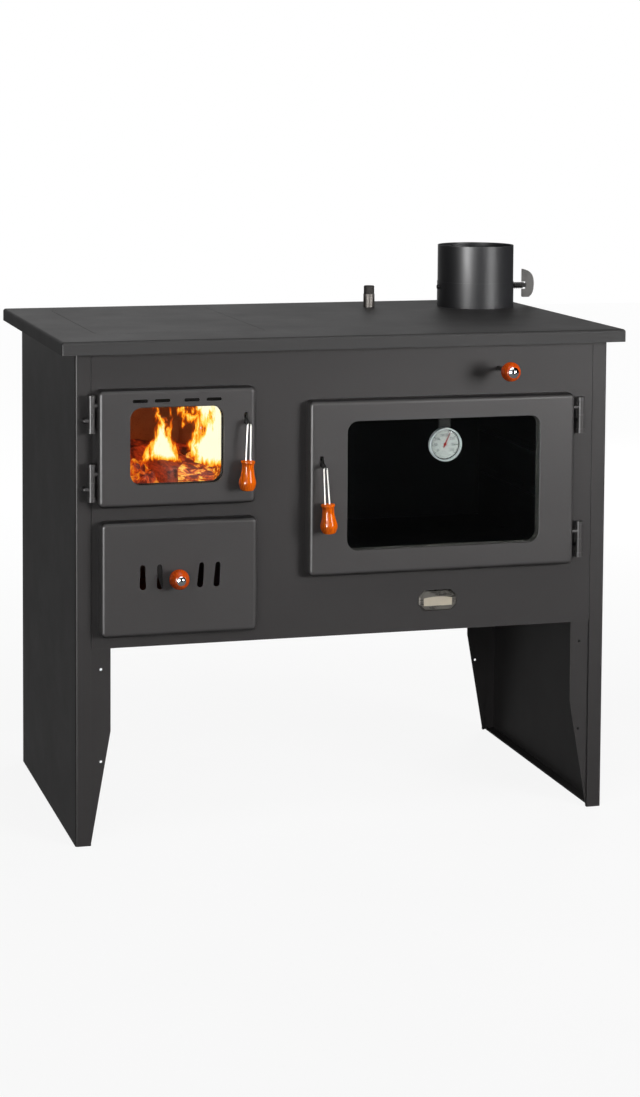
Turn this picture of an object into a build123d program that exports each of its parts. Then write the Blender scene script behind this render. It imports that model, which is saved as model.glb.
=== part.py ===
from build123d import *
from collections import namedtuple
from math import acos, atan2, cos, pi, radians, sin, sqrt
import os

os.makedirs("parts", exist_ok=True)

# ============================================================ driving dimensions (mm, degrees)
# Cooktop: a folded tray, plate on top with a skirt turned down all round
top_width = 1000
top_depth = 620
top_sheet = 5
skirt_height = 22.3
skirt_sheet = 3
top_edge_radius = 4.8
top_corner_radius = 3
side_overhang = 26
front_overhang = 22
rear_overhang = 57

# Body: two folded sides that run down to the floor, with panels between them
body_sheet = 3
leg_height = 335.5
panel_height = 514.5
stile_width = 26.4
bend_radius = 4
panel_gap = 0.8
return_width = 20
seat_clearance = 0.3
leg_flange_width = 34
flange_taper_height = 194
flange_wide_rise = 2
flange_lap = 1.5
flange_hole_radius = 2.5
flange_hole_inset = 17.6
flange_hole_heights = (142, 299.5)

# Pressed fronts of the doors and the ash drawer
front_depth = 24
front_stand_off = 1
front_sheet = 2.5
front_edge_radius = 8
front_corner_radius = 9.5
opening_overlap = 12
window_bevel = 1

fire_door_width = 270.2
fire_door_drop = 76.5
fire_door_inset = 34.3
drawer_width = 269.3
drawer_height = 194.5
drawer_inset = 38.6
drawer_rise = 22
drawer_to_door = 24
door_spacing = 93.6
oven_door_drop = 104.5
oven_door_inset = 68.7
oven_door_rise = 108.2

fire_window_side = 55.1
fire_window_drop = 30.5
fire_window_rise = 37.4
fire_window_shift = -1.2
fire_window_radius = 20
oven_window_side = 66.1
oven_window_drop = 37.2
oven_window_rise = 43.6
oven_window_shift = 1.3
oven_window_radius = 18

vent_length = 27
vent_height = 6
vent_drop = 19.3
vent_offsets = (-63.1, -25.2, 25.2, 63.1)

glass_thickness = 4
fire_glass_margin = 7
oven_glass_margin = 14
glass_corner_radius = 8
clip_sheet = 1.2
clip_width = 12
clip_foot = 10
clip_tongue = 5
clip_spread = 0.62
liner_sheet = 2
liner_recess = 2.5
liner_slot_drop = 4
rope_width = 6
rope_inset = 4.5

# Lift-off barrel hinges
barrel_radius = 6
barrel_length = 63
barrel_split = 31
barrel_gap = 0.3
barrel_cap_radius = 7
barrel_top_cap = 5.4
barrel_bottom_cap = 7.6
barrel_top_inset = 8.5
barrel_bottom_inset = 11.2
hinge_reach = 14
fire_hinge_offset = 9.8
oven_hinge_offset = 14.7
lug_radius = 4.25
door_lug_drop = 17.5
seat_lug_drop = 42.5
fire_boss_offset = 11
pin_radius = 3
pin_rise = 22
fit_clearance = 0.05

# Latches: a flat lever on a bracket behind the door, with a hook inside and an eye outside
lever_slot_width = 6.6
lever_slot_height = 20.5
fire_slot_inset = 18
fire_slot_drop = 52.9
oven_slot_inset = 21.7
oven_slot_lift = 46.6
lever_thickness = 4
lever_pivot_drop = 1.2
lever_pivot_reach = 12
lever_boss_radius = 5.5
lever_pin_radius = 2.5
lever_arm_height = 6
eye_reach = 34
eye_drop = 6.3
eye_nose_radius = 3.5
eye_nose_thickness = 2
eye_radius = 1.7
coined_reach = 5.5
hook_reach = 26.5
hook_width = 5
hook_rise = 4
hook_arm_drop = 1
ear_sheet = 2
ear_height = 14
ear_foot = 9
catch_sheet = 3
catch_reach = 6
catch_height = 20
catch_overlap = 3

# Handles: a wire hairpin through the eye, with a turned wooden grip on its legs
wire_radius = 1.3
hairpin_radius = 2.8
hairpin_spread = 1.05
grip_drop = 61.5
grip_length = 50
leg_socket = 10
grip_top_radius = 10.6
grip_lip_radius = 12
grip_lip_depth = 4.2
grip_neck_radius = 10.8
grip_waist_radius = 10.3
grip_shoulder_radius = 13
grip_belly_radius = 14.6
grip_heel_radius = 12.7
grip_end_radius = 10.5
fire_handle_lean = -1.4
oven_handle_lean = 3.4

# Ash drawer and its rotary air register
air_slot_height = 42.5
air_slot_rise = 79.2
air_slot_bottom_radius = 5.4
air_slot_top_radius = 4.4
air_slot_offsets = (-63.5, -34.3, 34.5, 62.7)
air_slot_leans = (-1, -1, 4.5, 4.5)
register_offset = -6
register_rise = 98.5
register_length = 156
register_height = 58
register_sheet = 2
register_corner_radius = 6
register_angle = 108
register_spindle_radius = 4
register_knob_radius = 17
register_knob_reach = 46
register_cap_radius = 7.8
register_cap_height = 3
register_neck_radius = 8
pan_sheet = 1.5
pan_side_clearance = 3
pan_front_gap = 0.8
pan_height = 110
pan_front_height = 59
pan_length = 360
pan_floor_clearance = 5.5
runner_ledge = 18
runner_sheet = 2
runner_leg = 20
runner_length = 400

# Firebox
casing_sheet = 3
casing_depth = 430
casing_clearance = 1
casing_top_clearance = 4
gas_outlet_drop = 75
brick_thickness = 28
brick_start = 30
brick_drop = 105
brick_joint = 0.5
brick_chamfer = 1.5
grate_shelf_height = 212.5
grate_shelf_sheet = 4
grate_thickness = 18
grate_lip = 10
grate_margin = 8
grate_clearance = 2
grate_slots = 9
grate_slot_width = 8

# Oven and the gas passage above it
oven_sheet = 3
oven_depth = 430
oven_runner_width = 12
oven_runner_sheet = 2
oven_runner_heights = (85, 165)
oven_runner_start = 30
oven_runner_end = 400
baffle_reach = 380
baffle_sheet = 3
baffle_opening_width = 70
baffle_opening_height = 40
baffle_bridge = 14

# Draft control: a pull rod through the front panel to a plate that closes the baffle
draft_inset = 202.5
draft_drop = 59.7
draft_rod_radius = 4
draft_rod_end = 408
draft_plate_lap = 4
draft_plate_sheet = 3
draft_knob_radius = 16.8
draft_knob_reach = 60
draft_cap_radius = 9.35
draft_cap_height = 4
draft_ferrule_radius = 6
draft_ferrule_length = 6
draft_push = 36
running_clearance = 0.1

# Flue collar and its damper
flue_inset = 79.5
flue_rear_inset = 80
flue_radius = 73.5
flue_wall = 2
flue_height = 118
spigot_radius = 72.8
spigot_length = 70
damper_height = 38
damper_clearance = 1.5
damper_sheet = 2
sleeve_radius = 6.5
spindle_radius = 4
spindle_nub = 4
key_stand_off = 21.5
key_width = 25
key_height = 55
key_sheet = 2
key_corner = 3
key_rise = 4.5
key_notch_depth = 8
key_notch_height = 14
spring_wire_radius = 0.9
spring_mean_radius = 5.5
spring_turns = 5
spring_lead = 3

# Hot plate, plugged tube, badge
lid_left_inset = 54
lid_width = 298
lid_start = 94
lid_rear_inset = 6
lid_corner_radius = 6
lid_gap = 0.8
lid_rib_height = 8
lid_rib_width = 8
ledge_sheet = 3
ledge_lap = 12
stub_inset = 287
stub_rear_inset = 58
stub_radius = 10.75
stub_bore = 8
stub_height = 25
plug_radius = 10
plug_height = 15.7
plug_shank = 12
plug_chamfer = 1.2
badge_shift = -1
badge_width = 69
badge_height = 36
badge_rise = 34.5
badge_corner = 11
badge_thickness = 3
badge_bevel = 2
plate_width = 52
plate_height = 16
plate_arch = 2.5
plate_thickness = 1.8
plate_drop = 1.5

# Thermometer, hung inside the oven window
dial_offset = 5.8
dial_drop = 83.7
case_radius = 29
case_depth = 10.7
case_wall = 1.2
bezel_width = 2.2
bezel_round = 0.9
dial_thickness = 0.8
needle_length = 21
needle_tail = 6
needle_half = 1
needle_point = 0.35
needle_sheet = 0.8
needle_hub_radius = 2.6
needle_pin_radius = 0.8
needle_angle = 25
strap_width = 22.3
strap_flange = 3
strap_sheet = 0.8
strap_lap = 20

# ============================================================ shared frame
# The origin is under the middle of the whole, on the floor. The key reaches furthest right and
# the draft knob furthest forward, so the body's own centre plane lies a little to the left.
body_width = top_width - 2 * side_overhang
body_depth = top_depth - front_overhang - rear_overhang
key_tip = body_width / 2 - flue_inset + flue_radius + key_stand_off + key_width
draft_front = draft_knob_reach + sqrt(draft_knob_radius**2 - draft_cap_radius**2) + draft_cap_height
mid_x = (top_width / 2 - max(key_tip, top_width / 2)) / 2
face_y = (max(draft_front, front_overhang) - body_depth - rear_overhang) / 2
rear_y = face_y + body_depth
left_x = mid_x - body_width / 2
right_x = mid_x + body_width / 2
body_top = leg_height + panel_height
top_z = body_top + top_sheet
base_top = leg_height + 2 * body_sheet
left_stile_x = left_x + stile_width
right_stile_x = right_x - stile_width

# Depths behind (+) and before (-) the stiles' front face
front_face = face_y - front_stand_off - front_depth
front_inside = front_face + front_sheet
front_rim = face_y - front_stand_off
liner_rear = front_rim - liner_recess
liner_front = liner_rear - liner_sheet
glass_rear = front_inside + glass_thickness
hinge_y = face_y - hinge_reach
pivot_y = face_y - lever_pivot_reach
panel_rear = face_y + body_sheet

Outline = namedtuple("Outline", "left right bottom top")


def grown(shape, margin):
    """The same outline, larger by a margin on every side."""
    return Outline(shape.left - margin, shape.right + margin, shape.bottom - margin, shape.top + margin)


def front_plane(y):
    """An upright plane at depth y, drawn in x and z; extrusions run forward."""
    return Plane.XZ.offset(-y)


def side_plane(x):
    """An upright plane at x, drawn in y and z; extrusions run to the right."""
    return Plane.YZ.offset(x)


def panel_shape(shape, radius=0, mode=Mode.ADD):
    """Rectangle of an outline in the open sketch, with round corners where a radius is given."""
    width = shape.right - shape.left
    height = shape.top - shape.bottom
    with Locations(((shape.left + shape.right) / 2, (shape.bottom + shape.top) / 2)):
        if radius:
            RectangleRounded(width, height, radius, mode=mode)
        else:
            Rectangle(width, height, mode=mode)


def block(x0, x1, y0, y1, z0, z1, mode=Mode.ADD):
    """Rectangular block between six planes, in the open part."""
    with Locations(((x0 + x1) / 2, (y0 + y1) / 2, (z0 + z1) / 2)):
        Box(x1 - x0, y1 - y0, z1 - z0, mode=mode)


def save(builder, name):
    builder.part.label = name
    export_step(builder.part, f"parts/{name}.step")


# Outlines of the three fronts, stacked up from the panel's bottom edge
drawer_outline = Outline(
    left_x + drawer_inset,
    left_x + drawer_inset + drawer_width,
    leg_height + drawer_rise,
    leg_height + drawer_rise + drawer_height,
)
fire_outline = Outline(
    left_x + fire_door_inset,
    left_x + fire_door_inset + fire_door_width,
    drawer_outline.top + drawer_to_door,
    body_top - fire_door_drop,
)
oven_outline = Outline(
    fire_outline.right + door_spacing,
    right_x - oven_door_inset,
    leg_height + oven_door_rise,
    body_top - oven_door_drop,
)
drawer_opening = grown(drawer_outline, -opening_overlap)
fire_opening = grown(fire_outline, -opening_overlap)
oven_opening = grown(oven_outline, -opening_overlap)


def window_outline(door, side, rise, drop, shift):
    return Outline(door.left + side + shift, door.right - side + shift, door.bottom + rise, door.top - drop)


fire_window = window_outline(
    fire_outline, fire_window_side, fire_window_rise, fire_window_drop, fire_window_shift
)
oven_window = window_outline(
    oven_outline, oven_window_side, oven_window_rise, oven_window_drop, oven_window_shift
)
fire_slot = (fire_outline.right - fire_slot_inset, fire_outline.top - fire_slot_drop)
oven_slot = (
    oven_outline.left + oven_slot_inset,
    (oven_outline.bottom + oven_outline.top) / 2 + oven_slot_lift,
)
fire_hinge_x = fire_outline.left - fire_hinge_offset
oven_hinge_x = oven_outline.right + oven_hinge_offset

# Casing of the firebox: its inside clears both openings it stands behind
casing_inside = Outline(
    min(fire_opening.left, drawer_opening.left) - casing_clearance,
    max(fire_opening.right, drawer_opening.right) + casing_clearance,
    base_top,
    body_top - casing_top_clearance,
)
casing_rear = face_y + casing_depth
oven_rear = face_y + oven_depth

flue_x = right_x - flue_inset
flue_y = rear_y - flue_rear_inset
flue_top = top_z + flue_height
damper_z = top_z + damper_height
draft_x = right_x - draft_inset
draft_z = body_top - draft_drop
knob_x = (drawer_outline.left + drawer_outline.right) / 2 + register_offset
knob_z = drawer_outline.bottom + register_rise
dial_x = (oven_window.left + oven_window.right) / 2 + dial_offset - oven_window_shift
dial_z = oven_outline.top - dial_drop


# ============================================================ body panels
def side_panel():
    """Left side: one sheet with a stile and a joggled leg flange turned in at front and rear."""
    jog_x = left_stile_x - body_sheet
    flange_x = left_stile_x + leg_flange_width
    upper_x = casing_inside.left - casing_sheet - 2 * seat_clearance
    wide_top = leg_height + flange_wide_rise
    middle_y = (face_y + rear_y) / 2
    with BuildPart() as panel:
        with BuildSketch(Plane.XY):
            with BuildLine():
                Polyline(
                    (left_x, middle_y),
                    (left_x, face_y),
                    (left_stile_x, face_y),
                    (left_stile_x, face_y + body_sheet),
                    (flange_x, face_y + body_sheet),
                    (flange_x, face_y + 2 * body_sheet),
                    (jog_x, face_y + 2 * body_sheet),
                    (jog_x, face_y + body_sheet),
                    (left_x + body_sheet, face_y + body_sheet),
                    (left_x + body_sheet, middle_y),
                    close=True,
                )
            make_face()
            mirror(about=Plane.XZ.offset(-middle_y))
        extrude(amount=body_top)
        with BuildSketch(front_plane(face_y)):
            with BuildLine():
                Polyline(
                    (left_stile_x, 0),
                    (flange_x, flange_taper_height),
                    (flange_x, wide_top),
                    (upper_x, wide_top),
                    (upper_x, body_top),
                    (flange_x + 1, body_top),
                    (flange_x + 1, 0),
                    close=True,
                )
            make_face()
        extrude(amount=-body_depth, mode=Mode.SUBTRACT)
        corners = panel.edges().filter_by(Axis.Z).group_by(Axis.X)[0]
        fillet(corners, bend_radius)
        with BuildSketch(Plane.XY):
            foot_y = face_y + 2 * body_sheet + seat_clearance
            foot_end = rear_y - 2 * body_sheet - seat_clearance
            panel_shape(Outline(left_x + body_sheet, left_x + return_width, foot_y, foot_end))
        extrude(amount=body_sheet)
        with BuildSketch(front_plane(face_y)):
            for height in flange_hole_heights:
                with Locations((left_stile_x + flange_hole_inset, height)):
                    Circle(flange_hole_radius)
        extrude(amount=-body_depth, mode=Mode.SUBTRACT)
    return panel


def flat_panel(direction, openings, rod_hole):
    """Front (direction 1) or rear (-1) panel, flush between the stiles, with a bottom return."""
    outer_y = face_y if direction > 0 else rear_y
    lap = leg_flange_width + flange_lap
    with BuildPart() as panel:
        with BuildSketch(front_plane(outer_y)):
            left = left_stile_x + panel_gap
            right = right_stile_x - panel_gap
            panel_shape(Outline(left, right, leg_height, body_top))
            for opening in openings:
                panel_shape(opening, mode=Mode.SUBTRACT)
            if rod_hole:
                with Locations((draft_x, draft_z)):
                    Circle(draft_rod_radius + running_clearance, mode=Mode.SUBTRACT)
        extrude(amount=-direction * body_sheet)
        with BuildSketch(Plane.XY.offset(leg_height)):
            ends = sorted((outer_y, outer_y + direction * return_width))
            panel_shape(Outline(left_stile_x + lap, right_stile_x - lap, ends[0], ends[1]))
        extrude(amount=body_sheet)
    return panel


left_panel = side_panel()
save(left_panel, "left_side_panel")

with BuildPart() as right_panel:
    mirror(left_panel.part, about=Plane.YZ.offset(mid_x))
save(right_panel, "right_side_panel")

front_panel = flat_panel(1, (fire_opening, drawer_opening, oven_opening), True)
save(front_panel, "front_panel")

rear_panel = flat_panel(-1, (), False)
save(rear_panel, "rear_panel")

with BuildPart() as base_panel:
    with BuildSketch(Plane.XY.offset(leg_height + body_sheet)):
        side_gap = body_sheet + seat_clearance
        end_gap = 2 * body_sheet + seat_clearance
        panel_shape(Outline(left_x + side_gap, right_x - side_gap, face_y + end_gap, rear_y - end_gap))
    extrude(amount=body_sheet)
save(base_panel, "base_panel")


# ============================================================ cooktop, hot plate, plugged tube
lid_cut = Outline(
    mid_x - top_width / 2 + side_overhang + lid_left_inset,
    mid_x - top_width / 2 + side_overhang + lid_left_inset + lid_width,
    face_y + lid_start,
    rear_y - lid_rear_inset,
)
ledge = Outline(
    lid_cut.left - ledge_lap,
    lid_cut.right + ledge_lap,
    lid_cut.bottom - ledge_lap,
    min(lid_cut.top + ledge_lap, rear_y - body_sheet - seat_clearance),
)
top_outline = Outline(
    mid_x - top_width / 2, mid_x + top_width / 2, face_y - front_overhang, rear_y + rear_overhang
)

with BuildPart() as cooktop:
    with BuildSketch(Plane.XY.offset(top_z - skirt_height)):
        panel_shape(top_outline)
    extrude(amount=skirt_height)
    fillet(cooktop.edges().filter_by(Axis.Z), top_corner_radius)
    fillet(cooktop.faces().sort_by(Axis.Z)[-1].edges(), top_edge_radius)
    with BuildSketch(Plane.XY.offset(top_z - skirt_height)):
        panel_shape(grown(top_outline, -skirt_sheet))
    extrude(amount=skirt_height - top_sheet, mode=Mode.SUBTRACT)
    with BuildSketch(Plane.XY.offset(body_top - ledge_sheet)):
        panel_shape(ledge)
    extrude(amount=ledge_sheet)
    with BuildSketch(Plane.XY.offset(body_top - ledge_sheet)):
        panel_shape(grown(lid_cut, -ledge_lap))
    extrude(amount=ledge_sheet, mode=Mode.SUBTRACT)
    with BuildSketch(Plane.XY.offset(body_top)):
        panel_shape(lid_cut, lid_corner_radius)
        with Locations((flue_x, flue_y)):
            Circle(flue_radius - flue_wall)
    extrude(amount=top_sheet, mode=Mode.SUBTRACT)
save(cooktop, "cooktop")

with BuildPart() as hot_plate:
    lid = grown(lid_cut, -lid_gap)
    lid_bottom = body_top + seat_clearance
    with BuildSketch(Plane.XY.offset(lid_bottom)):
        panel_shape(lid, lid_corner_radius - lid_gap)
    extrude(amount=top_sheet - seat_clearance)
    with BuildSketch(Plane.XY.offset(lid_bottom)):
        rib = grown(lid, -2 * ledge_lap)
        for third in (1, 2):
            rib_y = lid.bottom + third * (lid_cut.top - lid_cut.bottom) / 3
            panel_shape(Outline(rib.left, rib.right, rib_y - lid_rib_width / 2, rib_y + lid_rib_width / 2))
    extrude(amount=-lid_rib_height)
save(hot_plate, "hot_plate")

stub_place = (right_x - stub_inset, rear_y - stub_rear_inset)
with BuildPart() as pipe_stub:
    with BuildSketch(Plane.XY.offset(top_z)):
        with Locations(stub_place):
            Circle(stub_radius)
            Circle(stub_bore, mode=Mode.SUBTRACT)
    extrude(amount=stub_height)
save(pipe_stub, "pipe_stub")

with BuildPart() as pipe_plug:
    with BuildSketch(Plane.XY.offset(top_z + stub_height)):
        with Locations(stub_place):
            Circle(plug_radius)
    extrude(amount=plug_height)
    chamfer(pipe_plug.faces().sort_by(Axis.Z)[-1].edges(), plug_chamfer)
    with BuildSketch(Plane.XY.offset(top_z + stub_height)):
        with Locations(stub_place):
            Circle(stub_bore - fit_clearance)
    extrude(amount=-plug_shank)
save(pipe_plug, "pipe_plug")


# ============================================================ badge
badge_x = (oven_outline.left + oven_outline.right) / 2 + badge_shift
badge_bottom = leg_height + badge_rise
plate_z = badge_bottom + badge_height / 2 - plate_drop


def arched_plate(clearance):
    """Bare plate outline: straight bottom and sides, slightly arched top."""
    left = badge_x - plate_width / 2 - clearance
    right = badge_x + plate_width / 2 + clearance
    low = plate_z - plate_height / 2 - clearance
    high = plate_z + plate_height / 2 - plate_arch + clearance
    with BuildSketch(front_plane(face_y)) as shape:
        with BuildLine():
            Polyline((left, high), (left, low), (right, low), (right, high))
            ThreePointArc((right, high), (badge_x, high + plate_arch), (left, high))
        make_face()
    return shape.sketch


with BuildPart() as badge_bezel:
    with BuildSketch(front_plane(face_y)):
        badge = Outline(
            badge_x - badge_width / 2, badge_x + badge_width / 2, badge_bottom, badge_bottom + badge_height
        )
        panel_shape(badge)
    extrude(amount=badge_thickness)
    chamfer(badge_bezel.edges().filter_by(Axis.Y), badge_corner)
    chamfer(badge_bezel.faces().sort_by(Axis.Y)[0].edges(), badge_bevel)
    extrude(arched_plate(fit_clearance), amount=badge_thickness, mode=Mode.SUBTRACT)
save(badge_bezel, "badge_bezel")

with BuildPart() as badge_plate:
    extrude(arched_plate(0), amount=plate_thickness)
save(badge_plate, "badge_plate")


# ============================================================ firebox
with BuildPart() as firebox_casing:
    with BuildSketch(Plane.XY.offset(base_top)):
        outer = Outline(
            casing_inside.left - casing_sheet,
            casing_inside.right + casing_sheet,
            panel_rear,
            casing_rear + casing_sheet,
        )
        panel_shape(outer)
        panel_shape(Outline(casing_inside.left, casing_inside.right, panel_rear, casing_rear), mode=Mode.SUBTRACT)
    extrude(amount=casing_inside.top - base_top)
    block(
        casing_inside.right - 1,
        casing_inside.right + casing_sheet + 1,
        face_y + brick_start,
        casing_rear,
        body_top - gas_outlet_drop,
        body_top,
        mode=Mode.SUBTRACT,
    )
save(firebox_casing, "firebox_casing")

shelf_z = leg_height + grate_shelf_height
brick_bottom = shelf_z + grate_shelf_sheet
hearth = Outline(
    casing_inside.left + brick_thickness,
    casing_inside.right - brick_thickness,
    face_y + brick_start,
    casing_rear - brick_thickness,
)
bars = grown(hearth, -grate_clearance)

with BuildPart() as grate_frame:
    with BuildSketch(Plane.XY.offset(shelf_z)):
        panel_shape(Outline(casing_inside.left, casing_inside.right, panel_rear, casing_rear))
        panel_shape(grown(bars, -grate_margin), mode=Mode.SUBTRACT)
    extrude(amount=grate_shelf_sheet)
save(grate_frame, "grate_frame")

with BuildPart() as fire_grate:
    with BuildSketch(Plane.XY.offset(brick_bottom)):
        panel_shape(bars, grate_clearance)
    extrude(amount=grate_thickness - grate_lip)
    with BuildSketch(Plane.XY.offset(brick_bottom)):
        panel_shape(grown(bars, -grate_margin - grate_clearance))
    extrude(amount=-grate_lip)
    pitch = (bars.right - bars.left - 2 * grate_margin) / grate_slots
    slot_length = bars.top - bars.bottom - 4 * grate_margin
    with BuildSketch(Plane.XY.offset(brick_bottom - grate_lip)):
        with Locations(((bars.left + bars.right) / 2, (bars.bottom + bars.top) / 2)):
            with GridLocations(pitch, 0, grate_slots, 1):
                Rectangle(grate_slot_width, slot_length)
    extrude(amount=grate_thickness, mode=Mode.SUBTRACT)
save(fire_grate, "fire_grate")

with BuildPart() as fire_bricks:
    half_side = (hearth.top - hearth.bottom) / 2
    half_rear = (casing_inside.right - casing_inside.left) / 2
    brick_top = body_top - brick_drop
    for row in (0, 1):
        y0 = hearth.bottom + row * half_side
        y1 = y0 + half_side - brick_joint
        block(casing_inside.left, hearth.left, y0, y1, brick_bottom, brick_top)
        block(hearth.right, casing_inside.right, y0, y1, brick_bottom, brick_top)
        x0 = casing_inside.left + row * (half_rear + brick_joint / 2)
        x1 = x0 + half_rear - brick_joint / 2
        block(x0, x1, hearth.top, casing_rear, brick_bottom, brick_top)
    chamfer(fire_bricks.faces().group_by(Axis.Z)[-1].edges(), brick_chamfer)
save(fire_bricks, "fire_bricks")

pan_bottom = drawer_opening.bottom + pan_floor_clearance
with BuildPart() as drawer_runners:
    ledge_z = pan_bottom - seat_clearance
    with BuildSketch(front_plane(panel_rear)):
        for wall_x, inward in ((casing_inside.left, 1), (casing_inside.right, -1)):
            with BuildLine():
                Polyline(
                    (wall_x, ledge_z - runner_sheet),
                    (wall_x + inward * runner_ledge, ledge_z - runner_sheet),
                    (wall_x + inward * runner_ledge, ledge_z),
                    (wall_x + inward * runner_sheet, ledge_z),
                    (wall_x + inward * runner_sheet, ledge_z + runner_leg),
                    (wall_x, ledge_z + runner_leg),
                    close=True,
                )
            make_face()
    extrude(amount=-runner_length)
save(drawer_runners, "drawer_runners")


# ============================================================ oven
with BuildPart() as oven_box:
    with BuildSketch(front_plane(panel_rear)):
        panel_shape(grown(oven_opening, oven_sheet))
    extrude(amount=-(oven_rear + oven_sheet - panel_rear))
    with BuildSketch(front_plane(panel_rear)):
        panel_shape(oven_opening)
    extrude(amount=-(oven_rear - panel_rear), mode=Mode.SUBTRACT)
save(oven_box, "oven_box")

with BuildPart() as oven_runners:
    with BuildSketch(front_plane(face_y + oven_runner_start)):
        for height in oven_runner_heights:
            z = oven_opening.bottom + height
            for wall_x, inward in ((oven_opening.left, 1), (oven_opening.right, -1)):
                with BuildLine():
                    Polyline(
                        (wall_x, z),
                        (wall_x + inward * oven_runner_width, z),
                        (wall_x + inward * oven_runner_width, z + oven_runner_sheet),
                        (wall_x + inward * oven_runner_sheet, z + oven_runner_sheet),
                        (wall_x + inward * oven_runner_sheet, z + oven_runner_width),
                        (wall_x, z + oven_runner_width),
                        close=True,
                    )
                make_face()
    extrude(amount=-(oven_runner_end - oven_runner_start))
save(oven_runners, "oven_runners")

with BuildPart() as gas_baffle:
    baffle_y = face_y + baffle_reach
    with BuildSketch(front_plane(baffle_y)):
        panel_shape(
            Outline(
                casing_inside.right + casing_sheet,
                right_x - body_sheet,
                oven_opening.top + oven_sheet,
                body_top,
            )
        )
        ledge_bottom = body_top - ledge_sheet - seat_clearance
        ledge_end = ledge.right + seat_clearance
        panel_shape(Outline(casing_inside.right, ledge_end, ledge_bottom, body_top), mode=Mode.SUBTRACT)
        with Locations((draft_x, draft_z)):
            Rectangle(baffle_opening_width, baffle_opening_height, mode=Mode.SUBTRACT)
            Rectangle(baffle_bridge, baffle_opening_height)
            Circle(draft_rod_radius + running_clearance, mode=Mode.SUBTRACT)
    extrude(amount=-baffle_sheet)
save(gas_baffle, "gas_baffle")


# ============================================================ pressed fronts
def lever_slot(place, drop=0.0, height=lever_slot_height):
    """Upright slot that a latch lever works through, in the open sketch."""
    with Locations((place[0], place[1] - drop)):
        SlotOverall(height, lever_slot_width, rotation=90)


def pressed_front(outline):
    """Deep-drawn front: round edges and corners, even wall, open at the back."""
    with BuildPart() as front:
        with BuildSketch(front_plane(front_rim)):
            panel_shape(outline, front_corner_radius)
        extrude(amount=front_depth)
        fillet(front.faces().sort_by(Axis.Y)[0].edges(), front_edge_radius)
        offset(amount=-front_sheet, openings=front.faces().sort_by(Axis.Y)[-1])
    return front


def door_shell(outline, window, window_radius, slot, vents):
    with BuildPart() as shell:
        add(pressed_front(outline).part)
        with BuildSketch(front_plane(front_inside)):
            panel_shape(window, window_radius)
            lever_slot(slot)
            if vents:
                center_x = (outline.left + outline.right) / 2 + fire_window_shift
                for shift in vent_offsets:
                    with Locations((center_x + shift, outline.top - vent_drop)):
                        SlotOverall(vent_length, vent_height)
        extrude(amount=front_sheet, mode=Mode.SUBTRACT)
        with BuildSketch(front_plane(front_face)):
            panel_shape(grown(window, window_bevel), window_radius + window_bevel)
        extrude(amount=-window_bevel, taper=45, mode=Mode.SUBTRACT)
    return shell


def door_liner(outline, window, window_radius, slot):
    """Flat inner plate that stiffens the shell and carries rope, bracket and thermometer."""
    with BuildPart() as liner:
        with BuildSketch(front_plane(liner_rear)):
            panel_shape(grown(outline, -front_sheet), front_corner_radius - 1)
            panel_shape(window, window_radius, mode=Mode.SUBTRACT)
            with Locations((slot[0], slot[1] - lever_pivot_drop - liner_slot_drop)):
                SlotOverall(lever_slot_height + 2, lever_slot_width, rotation=90, mode=Mode.SUBTRACT)
        extrude(amount=liner_sheet)
    return liner


def door_glass(window, margin):
    with BuildPart() as glass:
        with BuildSketch(front_plane(glass_rear)):
            panel_shape(grown(window, margin), glass_corner_radius)
        extrude(amount=glass_thickness)
    return glass


def glass_clips(window, margin):
    """Four Z-shaped clips that hold the pane against the inside of the shell."""
    pane = grown(window, margin + fit_clearance)
    rise = clip_spread * (pane.top - pane.bottom) / 2
    middle = (pane.bottom + pane.top) / 2
    tongue_y = glass_rear + fit_clearance
    with BuildPart() as clips:
        for z in (middle - rise, middle + rise):
            with BuildSketch(Plane.XY.offset(z - clip_width / 2)):
                for edge_x, away in ((pane.left, -1), (pane.right, 1)):
                    with BuildLine():
                        Polyline(
                            (edge_x, front_inside),
                            (edge_x + away * clip_foot, front_inside),
                            (edge_x + away * clip_foot, front_inside + clip_sheet),
                            (edge_x + away * clip_sheet, front_inside + clip_sheet),
                            (edge_x + away * clip_sheet, tongue_y + clip_sheet),
                            (edge_x - away * clip_tongue, tongue_y + clip_sheet),
                            (edge_x - away * clip_tongue, tongue_y),
                            (edge_x, tongue_y),
                            close=True,
                        )
                    make_face()
            extrude(amount=clip_width)
    return clips


def door_rope(outline):
    """Rope seal round the opening, glued to the liner's back."""
    with BuildPart() as rope:
        with BuildSketch(front_plane(liner_rear)):
            panel_shape(grown(outline, -rope_inset), front_corner_radius)
            inner = grown(outline, -rope_inset - rope_width)
            panel_shape(inner, front_corner_radius - rope_width / 2, mode=Mode.SUBTRACT)
        extrude(amount=-(face_y - seat_clearance - liner_rear))
    return rope


# ============================================================ hinges
def barrel_tops(outline):
    return (outline.top - barrel_top_inset, outline.bottom + barrel_bottom_inset + barrel_length)


def barrel_disc(axis_x, radius, z0, z1, mode=Mode.ADD):
    """Upright cylinder on a hinge axis, in the open part."""
    with Locations((axis_x, hinge_y, (z0 + z1) / 2)):
        Cylinder(radius, z1 - z0, mode=mode)


def door_knuckles(outline, axis_x, wall_x):
    """Upper halves of a door's two barrels, each on a lug to the door's side wall."""
    with BuildPart() as knuckles:
        for top in barrel_tops(outline):
            split = top - barrel_split + barrel_gap / 2
            barrel_disc(axis_x, barrel_radius, split, top)
            barrel_disc(axis_x, barrel_cap_radius, top - barrel_top_cap, top)
            with BuildSketch(side_plane(wall_x)):
                with Locations((hinge_y, top - door_lug_drop)):
                    Circle(lug_radius)
            extrude(amount=axis_x - wall_x)
            bore_top = top - barrel_split + pin_rise + seat_clearance
            barrel_disc(axis_x, pin_radius + fit_clearance, split, bore_top, Mode.SUBTRACT)
    return knuckles


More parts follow.
